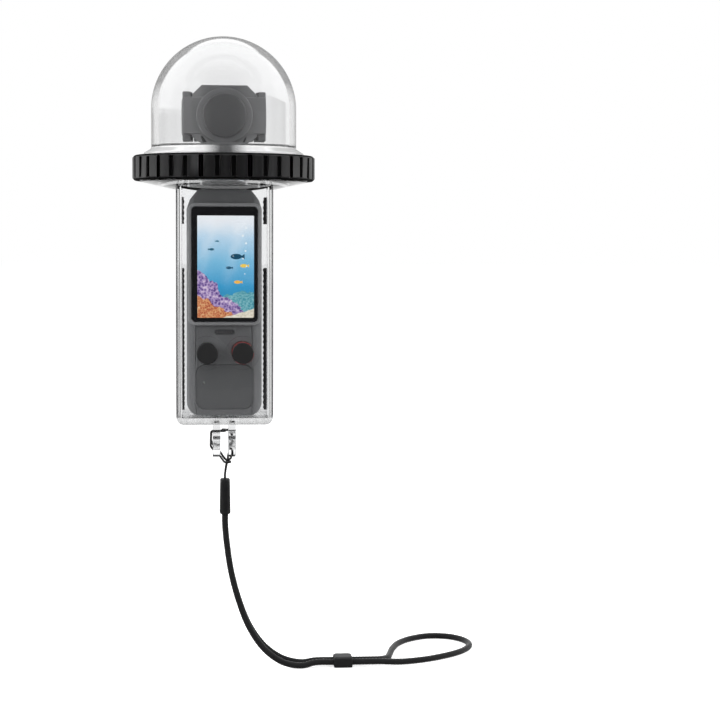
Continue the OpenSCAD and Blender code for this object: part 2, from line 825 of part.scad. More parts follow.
module grip_panel() {
    y0 = -grip_front + grip_panel_inset;
    color(cap_grey) difference() {
        plate_y(y0, y0 + grip_panel_t) grip_panel_outline(0);
        rod_y(y0 - over, y0 + grip_panel_t + over, lamp_r + run_fit, lamp_x, lamp_z);
    }
}

module status_lamp() {
    color(frosted_plastic)
        rod_y(-grip_front + grip_panel_inset, -grip_front + grip_wall, lamp_r, lamp_x, lamp_z);
}

module mic_mesh() {
    hole_r = 0.3;
    inset = seat_gap / 2;
    color(soft_black) difference() {
        plate_y(-grip_front + 0.2, -grip_front + mic_t)
            round_rect(-mic_half_w + inset, mic_half_w - inset, mic_z - mic_half_h + inset,
                mic_z + mic_half_h - inset, mic_half_h - 0.2);
        for (i = [-3 : 3]) {
            rod_y(-grip_front - over, -grip_front + mic_t + over, hole_r, i, mic_z);
        }
    }
}

module usb_socket() {
    wall = 0.4;
    color(steel) translate([0, 0, grip_z0 + 0.3]) difference() {
        linear_extrude(height = usb_l) usb_outline(0);
        translate([0, 0, -over]) linear_extrude(height = usb_l) usb_outline(-wall);
    }
}

module battery_cell() {
    color("slategray") translate([0, 0, cell_z0]) linear_extrude(height = cell_z1 - cell_z0)
        round_rect(-cell_x, cell_x, cell_y0, cell_y1, 1.5);
}

module main_board() {
    color(board_green) plate_y(board_y0, board_y1)
        round_rect(-board_x, board_x, board_z0, board_z1, 1);
}

module key_switches() {
    top_y = key_back + key_travel + switch_gap;
    color(steel) for (x = [record_x, mode_x]) {
        rod_y(top_y, board_y0, 2.2, x, key_z);
    }
}

module record_key() {
    color("firebrick") difference() {
        rod_y(key_y0, key_back, key_r, record_x, key_z);
        sleeve_y(key_y0 - over, key_y0 + 0.25, key_r - 1.2, key_r - 0.7, record_x, key_z);
    }
}

module joystick() {
    cap_back = -(grip_front + 0.3);
    color(soft_black) {
        rod_y(key_y0, cap_back, stick_r, mode_x, key_z);
        rod_y(key_y0, key_back, stick_r - 1.4, mode_x, key_z);
    }
}

// Screen, carried on its swivel hub
module screen_outline(grow, r) {
    half = glass_w / 2 + grow;
    round_rect(-half, half, screen_z0 - grow, screen_z1 + grow, r);
}

module screen_frame() {
    color(grip_grey) difference() {
        plate_y(frame_y0, -grip_front) screen_outline(screen_rim, glass_corner_r + screen_rim);
        plate_y(frame_y0 - over, panel_y1) screen_outline(seat_gap / 2, glass_corner_r);
    }
}

module screen_panel() {
    color("steelblue") plate_y(glass_y1, panel_y1) screen_outline(-panel_margin, 1);
}

module screen_glass() {
    color(glass_black) plate_y(screen_y0, glass_y1) screen_outline(0, glass_corner_r);
}

module screen_pivot() {
    flange_y = -(grip_front - grip_wall) + seat_gap;
    color(steel) {
        rod_y(-grip_front, flange_y + 0.8, pivot_r, 0, screen_mid);
        rod_y(flange_y, flange_y + 0.8, pivot_r + 1.4, 0, screen_mid);
    }
}

// Pan motor and the arm that it turns
module pan_stator() {
    inner_r = bearing_r + shaft_fit;
    tail_r = pan_stator_r - stator_step;
    step_z = grip_z1 - grip_wall;
    color(soft_black) rotate_extrude() polygon([
        [inner_r, stator_z0], [tail_r, stator_z0], [tail_r, step_z], [pan_stator_r, step_z],
        [pan_stator_r, stator_z1], [inner_r, stator_z1]
    ]);
}

module pan_bearing() {
    color(steel) ring_z(stator_z0 + bearing_inset, stator_z1 - bearing_inset,
        pan_shaft_r + run_fit, bearing_r);
}

module pan_shaft() {
    color(steel) rod_z(stator_z0 + shaft_skin, rotor_z1 - shaft_cap, pan_shaft_r);
}

module plate_outline() {
    side = plate_w / 2;
    flat_x = side - plate_cut;
    flat_z = plate_half - plate_cut;
    translate([0, gimbal_z]) polygon([
        [-flat_x, -plate_half], [flat_x, -plate_half], [side, -flat_z], [side, flat_z],
        [flat_x, plate_half], [-flat_x, plate_half], [-side, flat_z], [-side, -flat_z]
    ]);
}

module gimbal_arm() {
    color(gimbal_grey) difference() {
        union() {
            rod_z(rotor_z0, rotor_z1, pan_rotor_r);
            block(-arm_foot_x, arm_foot_x, arm_y0, 0, foot_z0, rotor_z1);
            block(-arm_post_x, arm_post_x, arm_y0, arm_y1, foot_z0, gimbal_z - plate_half + over);
            plate_y(arm_y0, arm_y1) plate_outline();
            block(-crossbar_half, crossbar_half, arm_y0 - crossbar_out, arm_y1,
                gimbal_z - crossbar_h / 2, gimbal_z + crossbar_h / 2);
            rod_y(arm_y0 - arm_boss_t, arm_y0 + over, roll_boss_r, 0, gimbal_z);
        }
        rod_z(rotor_z0 - over, rotor_z1 - shaft_cap, pan_shaft_r + shaft_fit);
        rod_y(roll_pocket_y0, arm_y1 + over, roll_pocket_r, 0, gimbal_z);
    }
}

module roll_stator() {
    color(copper) sleeve_y(roll_pocket_y0, arm_y1 - motor_inset, bearing_r + shaft_fit,
        roll_pocket_r - seat_gap, 0, gimbal_z);
}

module roll_bearing() {
    color(steel) sleeve_y(roll_pocket_y0 + bearing_inset, arm_y1 - motor_inset - bearing_inset,
        roll_shaft_r + run_fit, bearing_r, 0, gimbal_z);
}

module roll_cap() {
    y1 = arm_y0 - arm_boss_t;
    color(cap_grey) translate([0, y1, gimbal_z]) rotate([90, 0, 0]) rotate_extrude() polygon([
        [0, 0], [roll_cap_r, 0], [roll_cap_r, roll_cap_t - roll_cap_edge],
        [roll_cap_r - roll_cap_edge, roll_cap_t], [0, roll_cap_t]
    ]);
}

module roll_shaft() {
    color(steel) rod_y(roll_pocket_y0 + shaft_skin, band_y1 - shaft_skin, roll_shaft_r, 0, gimbal_z);
}

// Yoke with a motor pod at -X and a bearing pod at +X
module gimbal_yoke() {
    color(gimbal_grey) difference() {
        union() {
            block(side_arm_inset - yoke_half, yoke_half - side_arm_inset, band_y0, band_y1,
                gimbal_z - yoke_h / 2, gimbal_z + yoke_h / 2);
            for (side = [0, 1]) mirror([side, 0, 0]) {
                block(pod_x0 + side_arm_inset, yoke_half - side_arm_inset, band_y0, tilt_y,
                    gimbal_z - yoke_h / 2, gimbal_z + yoke_h / 2);
                block(pod_x0 + tab_inset, yoke_half - side_arm_inset, band_y0, band_y1,
                    gimbal_z - yoke_tab_h / 2, gimbal_z + yoke_tab_h / 2);
                rod_x(pod_x0, yoke_half, pod_r, tilt_y, gimbal_z);
            }
        }
        rod_y(band_y0 - over, band_y1 - shaft_skin, roll_shaft_r + shaft_fit, 0, gimbal_z);
        rod_x(-yoke_half + pod_floor, -pod_x0 + over, pod_pocket_r, tilt_y, gimbal_z);
        rod_x(pod_x0 - over, yoke_half - pod_floor, tilt_shaft_r + run_fit, tilt_y, gimbal_z);
    }
}

module tilt_stator() {
    color(copper) sleeve_x(-yoke_half + pod_floor, -pod_x0 - motor_inset, tilt_bearing_r + shaft_fit,
        pod_pocket_r - seat_gap, tilt_y, gimbal_z);
}

module tilt_bearing() {
    color(steel) sleeve_x(-yoke_half + pod_floor, -pod_x0 - bearing_inset, tilt_shaft_r + run_fit,
        tilt_bearing_r, tilt_y, gimbal_z);
}

module tilt_shafts() {
    color(steel) for (side = [0, 1]) {
        mirror([side, 0, 0])
            rod_x(head_x - head_wall, yoke_half - pod_floor - shaft_skin, tilt_shaft_r, tilt_y, gimbal_z);
    }
}

// Camera head
module head_outline(inset) {
    half = head_half - inset;
    front = head_front - inset;
    r = max(head_round - inset, 1);
    translate([tilt_y, gimbal_z]) {
        intersection() {
            circle(half);
            translate([-half, -half]) square([half + over, 2 * half]);
        }
        translate([0, -half]) square([front - r, 2 * half]);
        translate([0, r - half]) square([front, 2 * (half - r)]);
        for (z = [r - half, half - r]) {
            translate([front - r, z]) circle(r);
        }
    }
}

module head_shell() {
    difference() {
        plate_x(-head_x, head_x) head_outline(0);
        plate_x(-head_x + head_wall, head_x - head_wall) head_outline(head_wall);
        rod_x(-head_x - over, head_x + over, tilt_shaft_r + shaft_fit, tilt_y, gimbal_z);
        rod_y(tilt_y, tilt_y + head_front + over, lens_tube_r + 0.2, 0, gimbal_z);
    }
}

module head_space(y0, y1) {
    block(-head_x - over, head_x + over, y0, y1, gimbal_z - head_half - over, gimbal_z + head_half + over);
}

module head_rear_shell() {
    color(gimbal_grey) intersection() {
        head_shell();
        head_space(tilt_y - head_half - over, tilt_y + head_split);
    }
}

module head_front_shell() {
    color(gimbal_grey) intersection() {
        head_shell();
        head_space(tilt_y + head_split, tilt_y + head_front + over);
    }
}

module lens_barrel() {
    color(ring_black) difference() {
        union() {
            rod_y(tilt_y + head_front, tilt_y + lens_front, lens_r, 0, gimbal_z);
            rod_y(tilt_y + lens_tube_back, tilt_y + head_front + over, lens_tube_r, 0, gimbal_z);
        }
        rod_y(tilt_y + lens_seat, tilt_y + lens_front + over, glass_bore_r, 0, gimbal_z);
        rod_y(tilt_y + lens_tube_back - over, tilt_y + lens_front, glass_bore_r - lens_ledge, 0, gimbal_z);
    }
}

module lens_glass() {
    crown_y = tilt_y + lens_front - glass_sink;
    color(glass_black) intersection() {
        rod_y(tilt_y + lens_seat, crown_y + over, glass_bore_r - seat_gap, 0, gimbal_z);
        translate([0, crown_y - lens_dome_r, gimbal_z]) sphere(lens_dome_r, $fn = smooth_fn);
    }
}

module sensor_board() {
    color(board_green) block(-board_half_x, board_half_x, tilt_y + lens_tube_back - board_t,
        tilt_y + lens_tube_back, gimbal_z - board_half_z, gimbal_z + board_half_z);
}

// Wrist strap
module strap_string() {
    color(cord_black) tube(string_route, string_d / 2, 8, [0, 1, 0]);
}

module strap_ferrule() {
    r = ferrule_w / 2;
    color(cord_black) translate([strap_x, 0, ferrule_z0]) linear_extrude(height = ferrule_z1 - ferrule_z0)
        union() {
            for (y = [-1, 1]) {
                translate([0, y * (ferrule_d / 2 - r)]) circle(r);
            }
            translate([-r, r - ferrule_d / 2]) square([ferrule_w, ferrule_d - ferrule_w]);
        }
}

module strap_cord() {
    color(cord_black) tube(cord_route, cord_d / 2, 8, [0, 1, 0]);
}

module strap_slider() {
    color(soft_black) difference() {
        plate_x(slider_x0, slider_x0 + slider_l)
            round_rect(-slider_half_y, slider_half_y, run_z - slider_half_z, run_z + slider_half_z, 1);
        for (y = [-run_y, run_y]) {
            rod_x(slider_x0 - over, slider_x0 + slider_l + over, slider_bore, y, run_z);
        }
    }
}

housing_body();
finger_mount();
side_pads();
rear_pad();
base_pad();
dome_port();
dome_seal();
clamp_ring();
slip_washer();
record_plunger();
record_plunger_seal();
record_plunger_clip();
record_plunger_spring();
mode_plunger();
mode_plunger_seal();
mode_plunger_clip();
mode_plunger_spring();
grip_front_shell();
grip_rear_shell();
grip_panel();
status_lamp();
mic_mesh();
usb_socket();
battery_cell();
main_board();
key_switches();
record_key();
joystick();
screen_frame();
screen_panel();
screen_glass();
screen_pivot();
pan_stator();
pan_bearing();
pan_shaft();
gimbal_arm();
roll_stator();
roll_bearing();
roll_cap();
roll_shaft();
gimbal_yoke();
tilt_stator();
tilt_bearing();
tilt_shafts();
head_rear_shell();
head_front_shell();
lens_barrel();
lens_glass();
sensor_board();
strap_string();
strap_ferrule();
strap_cord();
strap_slider();
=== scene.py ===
"""Looks of the pocket gimbal camera in its clear dive housing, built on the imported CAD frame."""

import json
import math

import bmesh
import bpy
from mathutils import Matrix, Vector


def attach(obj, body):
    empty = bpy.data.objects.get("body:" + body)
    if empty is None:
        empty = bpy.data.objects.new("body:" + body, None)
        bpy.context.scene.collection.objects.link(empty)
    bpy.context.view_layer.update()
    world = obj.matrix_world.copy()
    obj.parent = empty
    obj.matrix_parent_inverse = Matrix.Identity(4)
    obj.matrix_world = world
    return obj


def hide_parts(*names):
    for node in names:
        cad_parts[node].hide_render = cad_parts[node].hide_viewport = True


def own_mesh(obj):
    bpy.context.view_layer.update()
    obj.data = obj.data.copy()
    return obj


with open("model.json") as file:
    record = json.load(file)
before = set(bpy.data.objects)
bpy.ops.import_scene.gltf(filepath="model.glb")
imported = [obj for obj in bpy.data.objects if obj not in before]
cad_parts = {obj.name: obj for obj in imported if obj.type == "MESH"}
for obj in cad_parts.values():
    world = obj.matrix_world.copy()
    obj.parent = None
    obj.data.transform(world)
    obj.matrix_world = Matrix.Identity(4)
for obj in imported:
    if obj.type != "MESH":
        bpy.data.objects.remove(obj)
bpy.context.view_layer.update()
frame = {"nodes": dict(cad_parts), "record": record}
nodes = frame["nodes"]
scene = bpy.context.scene
MM = 0.001
# Places and sizes on the CAD, in mm
GIMBAL_Z = 139.3
KEY_Z = 39.6
KEY_X = 7.5
FLOOR_Z = -100.0
DOME_Z = 142.8
DOME_R = 31.0
DOME_IN = 28.5
STRING_D = 1.0
CORD_D = 2.8
# The display's window in its cover glass: centre x and z, half width and half height
WINDOW = (0.6, 75.8, 12.1, 21.6)


# Materials
class Tree:
    """Short calls for building a node tree."""

    def __init__(self, owner):
        owner.use_nodes = True
        self.tree = owner.node_tree
        self.tree.nodes.clear()

    def add(self, kind, props=None, **inputs):
        n = self.tree.nodes.new("ShaderNode" + kind)
        for key, value in (props or {}).items():
            setattr(n, key, value)
        for key, value in inputs.items():
            self.put(n.inputs[key.replace("_", " ")], value)
        return n

    def put(self, socket, value):
        if isinstance(value, bpy.types.Node):
            value = value.outputs[0]
        if isinstance(value, bpy.types.NodeSocket):
            self.tree.links.new(value, socket)
        else:
            socket.default_value = value

    def math(self, op, a, b=0.0, c=0.0, clamp=False):
        n = self.add("Math", {"operation": op, "use_clamp": clamp})
        for socket, value in zip(n.inputs, (a, b, c)):
            self.put(socket, value)
        return n.outputs[0]

    def mix(self, factor, a, b):
        n = self.add("Mix", {"data_type": "RGBA"})
        self.put(n.inputs["Factor"], factor)
        self.put(n.inputs[6], a)
        self.put(n.inputs[7], b)
        return n.outputs[2]

    def ramp(self, value, *stops):
        n = self.add("ValToRGB")
        self.put(n.inputs[0], value)
        points = n.color_ramp.elements
        while len(points) < len(stops):
            points.new(1.0)
        for point, (at, colour) in zip(points, stops):
            point.position = at
            point.color = (*colour, 1.0)
        return n.outputs[0]

    def spread(self, value, low, high, to_low, to_high):
        n = self.add("MapRange", Value=value, From_Min=low, From_Max=high, To_Min=to_low, To_Max=to_high)
        return n.outputs[0]

    def noise(self, where, scale, detail=3.0, rough=0.55):
        return self.add("TexNoise", Vector=where, Scale=scale, Detail=detail, Roughness=rough).outputs[0]

    def bump(self, height, strength, distance):
        return self.add("Bump", Height=height, Strength=strength, Distance=distance).outputs[0]


def shade(c, k):
    return (c[0] * k, c[1] * k, c[2] * k, 1.0)


def start(name):
    m = bpy.data.materials.new(name)
    t = Tree(m)
    out = t.add("OutputMaterial")
    where = t.add("TexCoord").outputs["Object"]
    return m, t, out, where


def solid(name, colour, rough, metal=0.0, grain_mm=0.35, depth=0.25, vary=0.1, rough_vary=0.06, wear_and_highlight=0.0,
          specular=0.5, coat=0.0, groove_shade_r=None):
    """Moulded, cast or turned surface: mottled colour, grain, uneven gloss and paler edges, partly wear and partly
    painted highlight. Faces nearer to the Z axis than the groove radius, in mm, are painted dark as groove shade and
    made matt."""
    m, t, out, where = start(name)
    cloud = t.noise(where, 70.0, 4.0)
    fine = t.noise(where, 1000.0 / grain_mm, 2.0)
    tone = t.mix(cloud, shade(colour, 1 - vary), shade(colour, 1 + vary))
    tone = t.mix(t.spread(fine, 0.35, 0.7, 0.0, 0.35), tone, shade(colour, 1 - 1.6 * vary))
    # Paler edges: partly wear, partly painted highlight on the edges
    if wear_and_highlight:
        edge = t.spread(t.add("NewGeometry").outputs["Pointiness"], 0.505, 0.57, 0.0, wear_and_highlight)
        tone = t.mix(edge, tone, shade([min(1.0, 2.2 * c + 0.05) for c in colour], 1))
    gloss = t.spread(cloud, 0.3, 0.7, rough - rough_vary, rough + rough_vary)
    # Painted shade: faces nearer the axis than the given radius, the groove floors, are darkened and made matt
    if groove_shade_r:
        x, y, z = t.add("SeparateXYZ", Vector=where).outputs
        reach = t.math("SQRT", t.math("ADD", t.math("POWER", x, 2.0), t.math("POWER", y, 2.0)))
        groove_shade = t.spread(reach, (groove_shade_r - 0.15) * MM, (groove_shade_r + 0.1) * MM, 1.0, 0.0)
        tone = t.mix(groove_shade, tone, shade(colour, 0.1))
        gloss = t.math("MAXIMUM", gloss, groove_shade)
    b = t.add("BsdfPrincipled", Base_Color=tone, Roughness=gloss, Metallic=metal,
              Normal=t.bump(fine, depth, 0.00006))
    b.inputs["Specular IOR Level"].default_value = specular
    b.inputs["Coat Weight"].default_value = coat
    t.put(out.inputs["Surface"], b)
    return m


def clear(name, colour, rough, haze=0.0, frost=None, bore=None, dome=None, painted_side_glow=None):
    """Clear moulding with a faint flow in its faces, which lamps shine through. It is frosted below the height
    frost or within the radius bore of the cross bore. A dome of (radius, height) gets painted shade: its upper outer
    edge turns grey at grazing angles.
    With a collar of (radius, low height, high height, share), faces outside the radius and between the heights are
    made partly milky towards the sides, up to the share: painted brightness for the light seen at the collar's sides.
    All are in mm."""
    m, t, out, where = start(name)
    x, y, z = t.add("SeparateXYZ", Vector=where).outputs
    flow = t.noise(where, 45.0, 2.0)
    fine = t.noise(where, 900.0, 2.0)
    gloss = t.spread(fine, 0.4, 0.75, rough, rough + 0.02 + haze)
    tint = t.mix(flow, shade(colour, 0.985), shade(colour, 1.0))
    height = flow
    if frost or bore:
        if frost:
            matt = t.spread(z, (frost - 0.5) * MM, (frost + 0.3) * MM, 1.0, 0.0)
        else:
            out_2 = t.math("ADD", t.math("POWER", y, 2.0), t.math("POWER", z, 2.0))
            matt = t.math("LESS_THAN", out_2, (bore * MM) ** 2)
        mottle = t.noise(where, 620.0, 3.0)
        gloss = t.math("ADD", gloss, t.math("MULTIPLY", matt, t.spread(mottle, 0.3, 0.7, 0.1, 0.34)))
        veil = t.math("MULTIPLY", matt, t.spread(mottle, 0.35, 0.75, 0.3, 0.85))
        tint = t.mix(veil, tint, shade(colour, 0.66))
        height = t.math("ADD", flow, t.math("MULTIPLY", matt, t.math("MULTIPLY", mottle, 0.5)))
    # Painted shade: grey tint at grazing angles on the dome's upper outer face, a dark rim standing in for dark
    # surroundings seen in its edge
    if dome:
        above = t.math("MAXIMUM", t.math("SUBTRACT", z, dome[1] * MM), 0.0)
        reach = t.add("VectorMath", {"operation": "LENGTH"})
        t.put(reach.inputs[0], t.add("CombineXYZ", X=x, Y=y, Z=above))
        outside = t.math("GREATER_THAN", reach.outputs["Value"], (dome[0] - 1.2) * MM)
        slant = t.add("LayerWeight", Blend=0.5).outputs["Facing"]
        slant = t.math("SUBTRACT", slant, t.spread(above, 0.0225, 0.0305, 0.59, 0.78))
        painted_rim_shade = t.math("MULTIPLY", outside, t.spread(slant, -0.02, 0.02, 0.0, 1.0))
        tint = t.mix(painted_rim_shade, tint, t.spread(above, 0.002, 0.011, 0.72, 0.1))
    b = t.add("BsdfPrincipled", Base_Color=tint, Roughness=gloss, Normal=t.bump(height, 0.06, 0.0004))
    b.inputs["Transmission Weight"].default_value = 1.0
    # Painted brightness: collar faces are made partly milky, more towards the sides, for the light seen at the
    # collar's sides
    if painted_side_glow:
        out_r = t.math("SQRT", t.math("ADD", t.math("POWER", x, 2.0), t.math("POWER", y, 2.0)))
        between = t.math("MULTIPLY", t.math("GREATER_THAN", z, painted_side_glow[1] * MM), t.math("LESS_THAN", z, painted_side_glow[2] * MM))
        painted_glow_band = t.math("MULTIPLY", t.math("GREATER_THAN", out_r, painted_side_glow[0] * MM), between)
        share = t.spread(t.math("ABSOLUTE", x), 0.002, 0.009, 0.0, painted_side_glow[3])
        t.put(b.inputs["Transmission Weight"], t.math("SUBTRACT", 1.0, t.math("MULTIPLY", painted_glow_band, share)))
    b.inputs["IOR"].default_value = 1.5
    pass_on = t.add("BsdfTransparent", Color=shade(colour, 0.96))
    mix = t.add("MixShader", Fac=t.add("LightPath").outputs["Is Shadow Ray"])
    t.put(mix.inputs[1], b)
    t.put(mix.inputs[2], pass_on)
    t.put(out.inputs["Surface"], mix)
    return m


def braid(name, colour):
    m, t, out, where = start(name)
    fibre = t.noise(where, 5200.0, 3.0)
    dust = t.noise(where, 260.0, 3.0)
    tone = t.mix(t.spread(fibre, 0.35, 0.7, 0.0, 1.0), shade(colour, 0.55), shade(colour, 1.7))
    tone = t.mix(t.spread(dust, 0.55, 0.8, 0.0, 0.25), tone, shade(colour, 3.0))
    b = t.add("BsdfPrincipled", Base_Color=tone, Roughness=t.spread(fibre, 0.3, 0.7, 0.62, 0.85),
              Normal=t.bump(fibre, 0.5, 0.00008))
    b.inputs["Sheen Weight"].default_value = 0.25
    b.inputs["Sheen Roughness"].default_value = 0.4
    t.put(out.inputs["Surface"], b)
    return m


def circuit(name):
    m, t, out, where = start(name)
    tracks = t.add("TexBrick", {"offset": 0.37}, Vector=where, Scale=420.0, Mortar_Size=0.08,
                   Color1=(0.012, 0.09, 0.04, 1), Color2=(0.016, 0.12, 0.055, 1),
                   Mortar=(0.35, 0.22, 0.07, 1))
    b = t.add("BsdfPrincipled", Base_Color=tracks.outputs[0],
              Roughness=t.spread(tracks.outputs[1], 0, 1, 0.35, 0.5))
    t.put(out.inputs["Surface"], b)
    return m


def wound(name):
    """Enamelled wire wound in fine turns."""
    m, t, out, where = start(name)
    turns = t.add("TexWave", {"wave_type": "RINGS", "rings_direction": "SPHERICAL"}, Vector=where,
                  Scale=900.0, Distortion=1.0, Detail=2.0)
    tone = t.mix(turns.outputs[1], (0.35, 0.13, 0.04, 1), (0.72, 0.36, 0.14, 1))
    b = t.add("BsdfPrincipled", Base_Color=tone, Roughness=t.spread(turns.outputs[1], 0, 1, 0.45, 0.25),
              Metallic=0.9, Normal=t.bump(turns.outputs[1], 0.4, 0.0001))
    t.put(out.inputs["Surface"], b)
    return m


def cover_glass(name):
    """Black-edged cover glass with a clear window over the display."""
    m, t, out, where = start(name)
    sep = t.add("SeparateXYZ", Vector=where)
    x0, z0, half_x, half_z = [v * MM for v in WINDOW]
    dx = t.math("SUBTRACT", half_x, t.math("ABSOLUTE", t.math("SUBTRACT", sep.outputs[0], x0)))
    dz = t.math("SUBTRACT", half_z, t.math("ABSOLUTE", t.math("SUBTRACT", sep.outputs[2], z0)))
    inside = t.math("GREATER_THAN", t.math("MINIMUM", dx, dz), 0.0)
    smear = t.noise(where, 90.0, 4.0)
    b = t.add("BsdfPrincipled", Base_Color=t.mix(inside, (0.006, 0.006, 0.007, 1), (0.98, 0.99, 1.0, 1)),
              Roughness=t.spread(smear, 0.3, 0.7, 0.03, 0.09))
    t.put(b.inputs["Transmission Weight"], inside)
    b.inputs["IOR"].default_value = 1.5
    t.put(out.inputs["Surface"], b)
    return m


def display(name):
    """Lit picture: pale surface light over blue water, with a reef slope, weed, fish and bubbles."""
    m, t, out, where = start(name)
    sep = t.add("SeparateXYZ", Vector=where)
    x0, z0, half_x, half_z = [v * MM for v in WINDOW]
    u = t.math("DIVIDE", t.math("SUBTRACT", sep.outputs[0], x0), half_x)
    v = t.math("DIVIDE", t.math("SUBTRACT", sep.outputs[2], z0), half_z)
    swirl = t.noise(where, 160.0, 4.0)
    level = t.math("ADD", t.spread(v, -1, 1, 0, 1), t.math("MULTIPLY", t.math("SUBTRACT", swirl, 0.5), 0.09))
    water = t.ramp(level, (0.0, (0.02, 0.2, 0.36)), (0.3, (0.045, 0.33, 0.6)), (0.55, (0.2, 0.51, 0.74)),
                   (0.78, (0.5, 0.7, 0.86)), (0.92, (0.83, 0.88, 0.93)), (1.0, (0.88, 0.9, 0.92)))
    slant = t.math("ADD", t.math("MULTIPLY", u, 3.1), t.math("MULTIPLY", v, -1.3))
    ripple = t.math("SINE", t.math("ADD", slant, t.math("MULTIPLY", swirl, 2.0)))
    rays = t.math("POWER", t.math("ABSOLUTE", ripple), 6.0)
    rays = t.math("MULTIPLY", rays, t.spread(v, -0.5, 0.9, 0.0, 0.3))
    pic = t.mix(rays, water, (0.92, 0.96, 1.0, 1))

    def reef(slope, height, rough, scale, stops):
        nonlocal pic
        edge = t.math("ADD", t.math("MULTIPLY", u, slope), height)
        jag = t.math("SUBTRACT", t.noise(where, scale, 4.0), 0.5)
        edge = t.math("ADD", edge, t.math("MULTIPLY", jag, rough))
        mask = t.math("GREATER_THAN", edge, v)
        cell = t.add("TexVoronoi", Vector=where, Scale=scale * 5.0)
        grey = t.math("ADD", t.math("MULTIPLY", cell.outputs[0], 0.8), t.math("MULTIPLY", swirl, 0.45))
        pic = t.mix(mask, pic, t.ramp(grey, *stops))

    reef(0.1, -0.56, 0.22, 300.0,
         ((0.15, (0.03, 0.18, 0.25)), (0.5, (0.08, 0.33, 0.4)), (0.9, (0.25, 0.52, 0.56))))
    reef(-0.52, -0.56, 0.5, 210.0,
         ((0.1, (0.02, 0.01, 0.06)), (0.4, (0.1, 0.05, 0.24)), (0.75, (0.42, 0.3, 0.55)), (1.0, (0.75, 0.62, 0.75))))
    reef(-0.3, -0.86, 0.42, 260.0,
         ((0.1, (0.1, 0.015, 0.012)), (0.4, (0.46, 0.1, 0.05)), (0.75, (0.7, 0.32, 0.14)), (1.0, (0.85, 0.62, 0.36))))
    reef(0.16, -0.98, 0.12, 240.0,
         ((0.1, (0.5, 0.46, 0.36)), (0.6, (0.74, 0.68, 0.55)), (1.0, (0.86, 0.82, 0.7))))

    def spot(cx, cy, rx, ry, colour, tail=0.0):
        nonlocal pic
        ax = t.math("SUBTRACT", u, cx)
        ay = t.math("SUBTRACT", v, cy)
        body = t.math("ADD", t.math("POWER", t.math("ABSOLUTE", t.math("DIVIDE", ax, rx)), 2.0),
                      t.math("POWER", t.math("ABSOLUTE", t.math("DIVIDE", ay, ry)), 2.0))
        mask = t.math("LESS_THAN", body, 1.0)
        if tail:
            aft = t.math("SUBTRACT", t.math("MULTIPLY", ax, -tail / abs(tail)), rx * 0.75)
            along = t.math("DIVIDE", aft, rx * 0.7)
            fan = t.math("LESS_THAN", t.math("ABSOLUTE", ay), t.math("MULTIPLY", along, ry * 0.95))
            fan = t.math("MULTIPLY", fan, t.math("LESS_THAN", along, 1.0))
            mask = t.math("MAXIMUM", mask, fan)
        pic = t.mix(mask, pic, (*colour, 1))

    shoal = (
        (0.36, 0.2, 0.2, -1, (0.01, 0.07, 0.13)), (0.62, 0.02, 0.13, -1, (0.9, 0.62, 0.1)),
        (0.1, -0.02, 0.1, -1, (0.02, 0.1, 0.18)), (-0.5, 0.34, 0.09, 1, (0.02, 0.12, 0.2)),
        (0.4, -0.3, 0.12, -1, (0.93, 0.5, 0.08)), (-0.3, 0.5, 0.06, 1, (0.05, 0.2, 0.3)),
    )
    for cx, cy, size, way, colour in shoal:
        spot(cx, cy, size, size * 0.27, colour, way)
        spot(cx + way * size * 0.55, cy + size * 0.05, size * 0.07, size * 0.04, (0.9, 0.93, 0.95))
    for k in range(7):
        spot(0.66 + 0.07 * math.sin(2.2 * k), -0.14 + 0.15 * k, 0.02 + 0.004 * k, 0.011 + 0.002 * k,
             (0.86, 0.93, 0.97))
    b = t.add("BsdfPrincipled", Base_Color=(0.01, 0.01, 0.012, 1), Roughness=0.3, Emission_Color=pic)
    b.inputs["Emission Strength"].default_value = 1.0
    t.put(out.inputs["Surface"], b)
    return m


mats = {
    "clear_polycarbonate": clear("clear_polycarbonate", (0.97, 0.975, 0.98), 0.0),
    "frosted_plastic": clear("frosted_plastic", (0.9, 0.93, 0.94), 0.22, 0.2),
    "black_moulding": solid("black_moulding", (0.0085, 0.0085, 0.009), 0.42, grain_mm=0.3, depth=0.2,
                            wear_and_highlight=0.2),
    "soft_rubber": solid("soft_rubber", (0.02, 0.02, 0.021), 0.62, grain_mm=0.5, depth=0.3, vary=0.18),
    "spring_steel": solid("spring_steel", (0.6, 0.61, 0.63), 0.28, metal=1.0, grain_mm=0.12, depth=0.08),
    "grip_plastic": solid("grip_plastic", (0.122, 0.123, 0.126), 0.42, grain_mm=0.22, depth=0.25, wear_and_highlight=0.12),
    "gimbal_metal": solid("gimbal_metal", (0.152, 0.153, 0.156), 0.5, metal=0.1, grain_mm=0.18, depth=0.22,
                          wear_and_highlight=0.15),
    "cap_metal": solid("cap_metal", (0.1, 0.1, 0.102), 0.46, metal=0.1, grain_mm=0.16, depth=0.18, vary=0.05),
    "motor_winding": wound("motor_winding"),
    "circuit_board": circuit("circuit_board"),
    "battery_wrap": solid("battery_wrap", (0.1, 0.12, 0.16), 0.35, grain_mm=1.2, depth=0.3, vary=0.15),
    "cover_glass": cover_glass("cover_glass"),
    "display": display("display"),
    "red_key": solid("red_key", (0.42, 0.03, 0.03), 0.38, grain_mm=0.3, depth=0.15),
    "lamp_lens": solid("lamp_lens", (0.16, 0.165, 0.163), 0.25, grain_mm=0.4, depth=0.05, coat=0.5),
    "braided_cord": braid("braided_cord", (0.0065, 0.0065, 0.007)),
    "strap_moulding": solid("strap_moulding", (0.008, 0.008, 0.0085), 0.42, grain_mm=0.25, depth=0.3,
                            wear_and_highlight=0.15),
}
lens_mat = solid("lens_coating", (0.006, 0.006, 0.012), 0.05, grain_mm=2.0, depth=0.01, vary=0.4, coat=1.0)
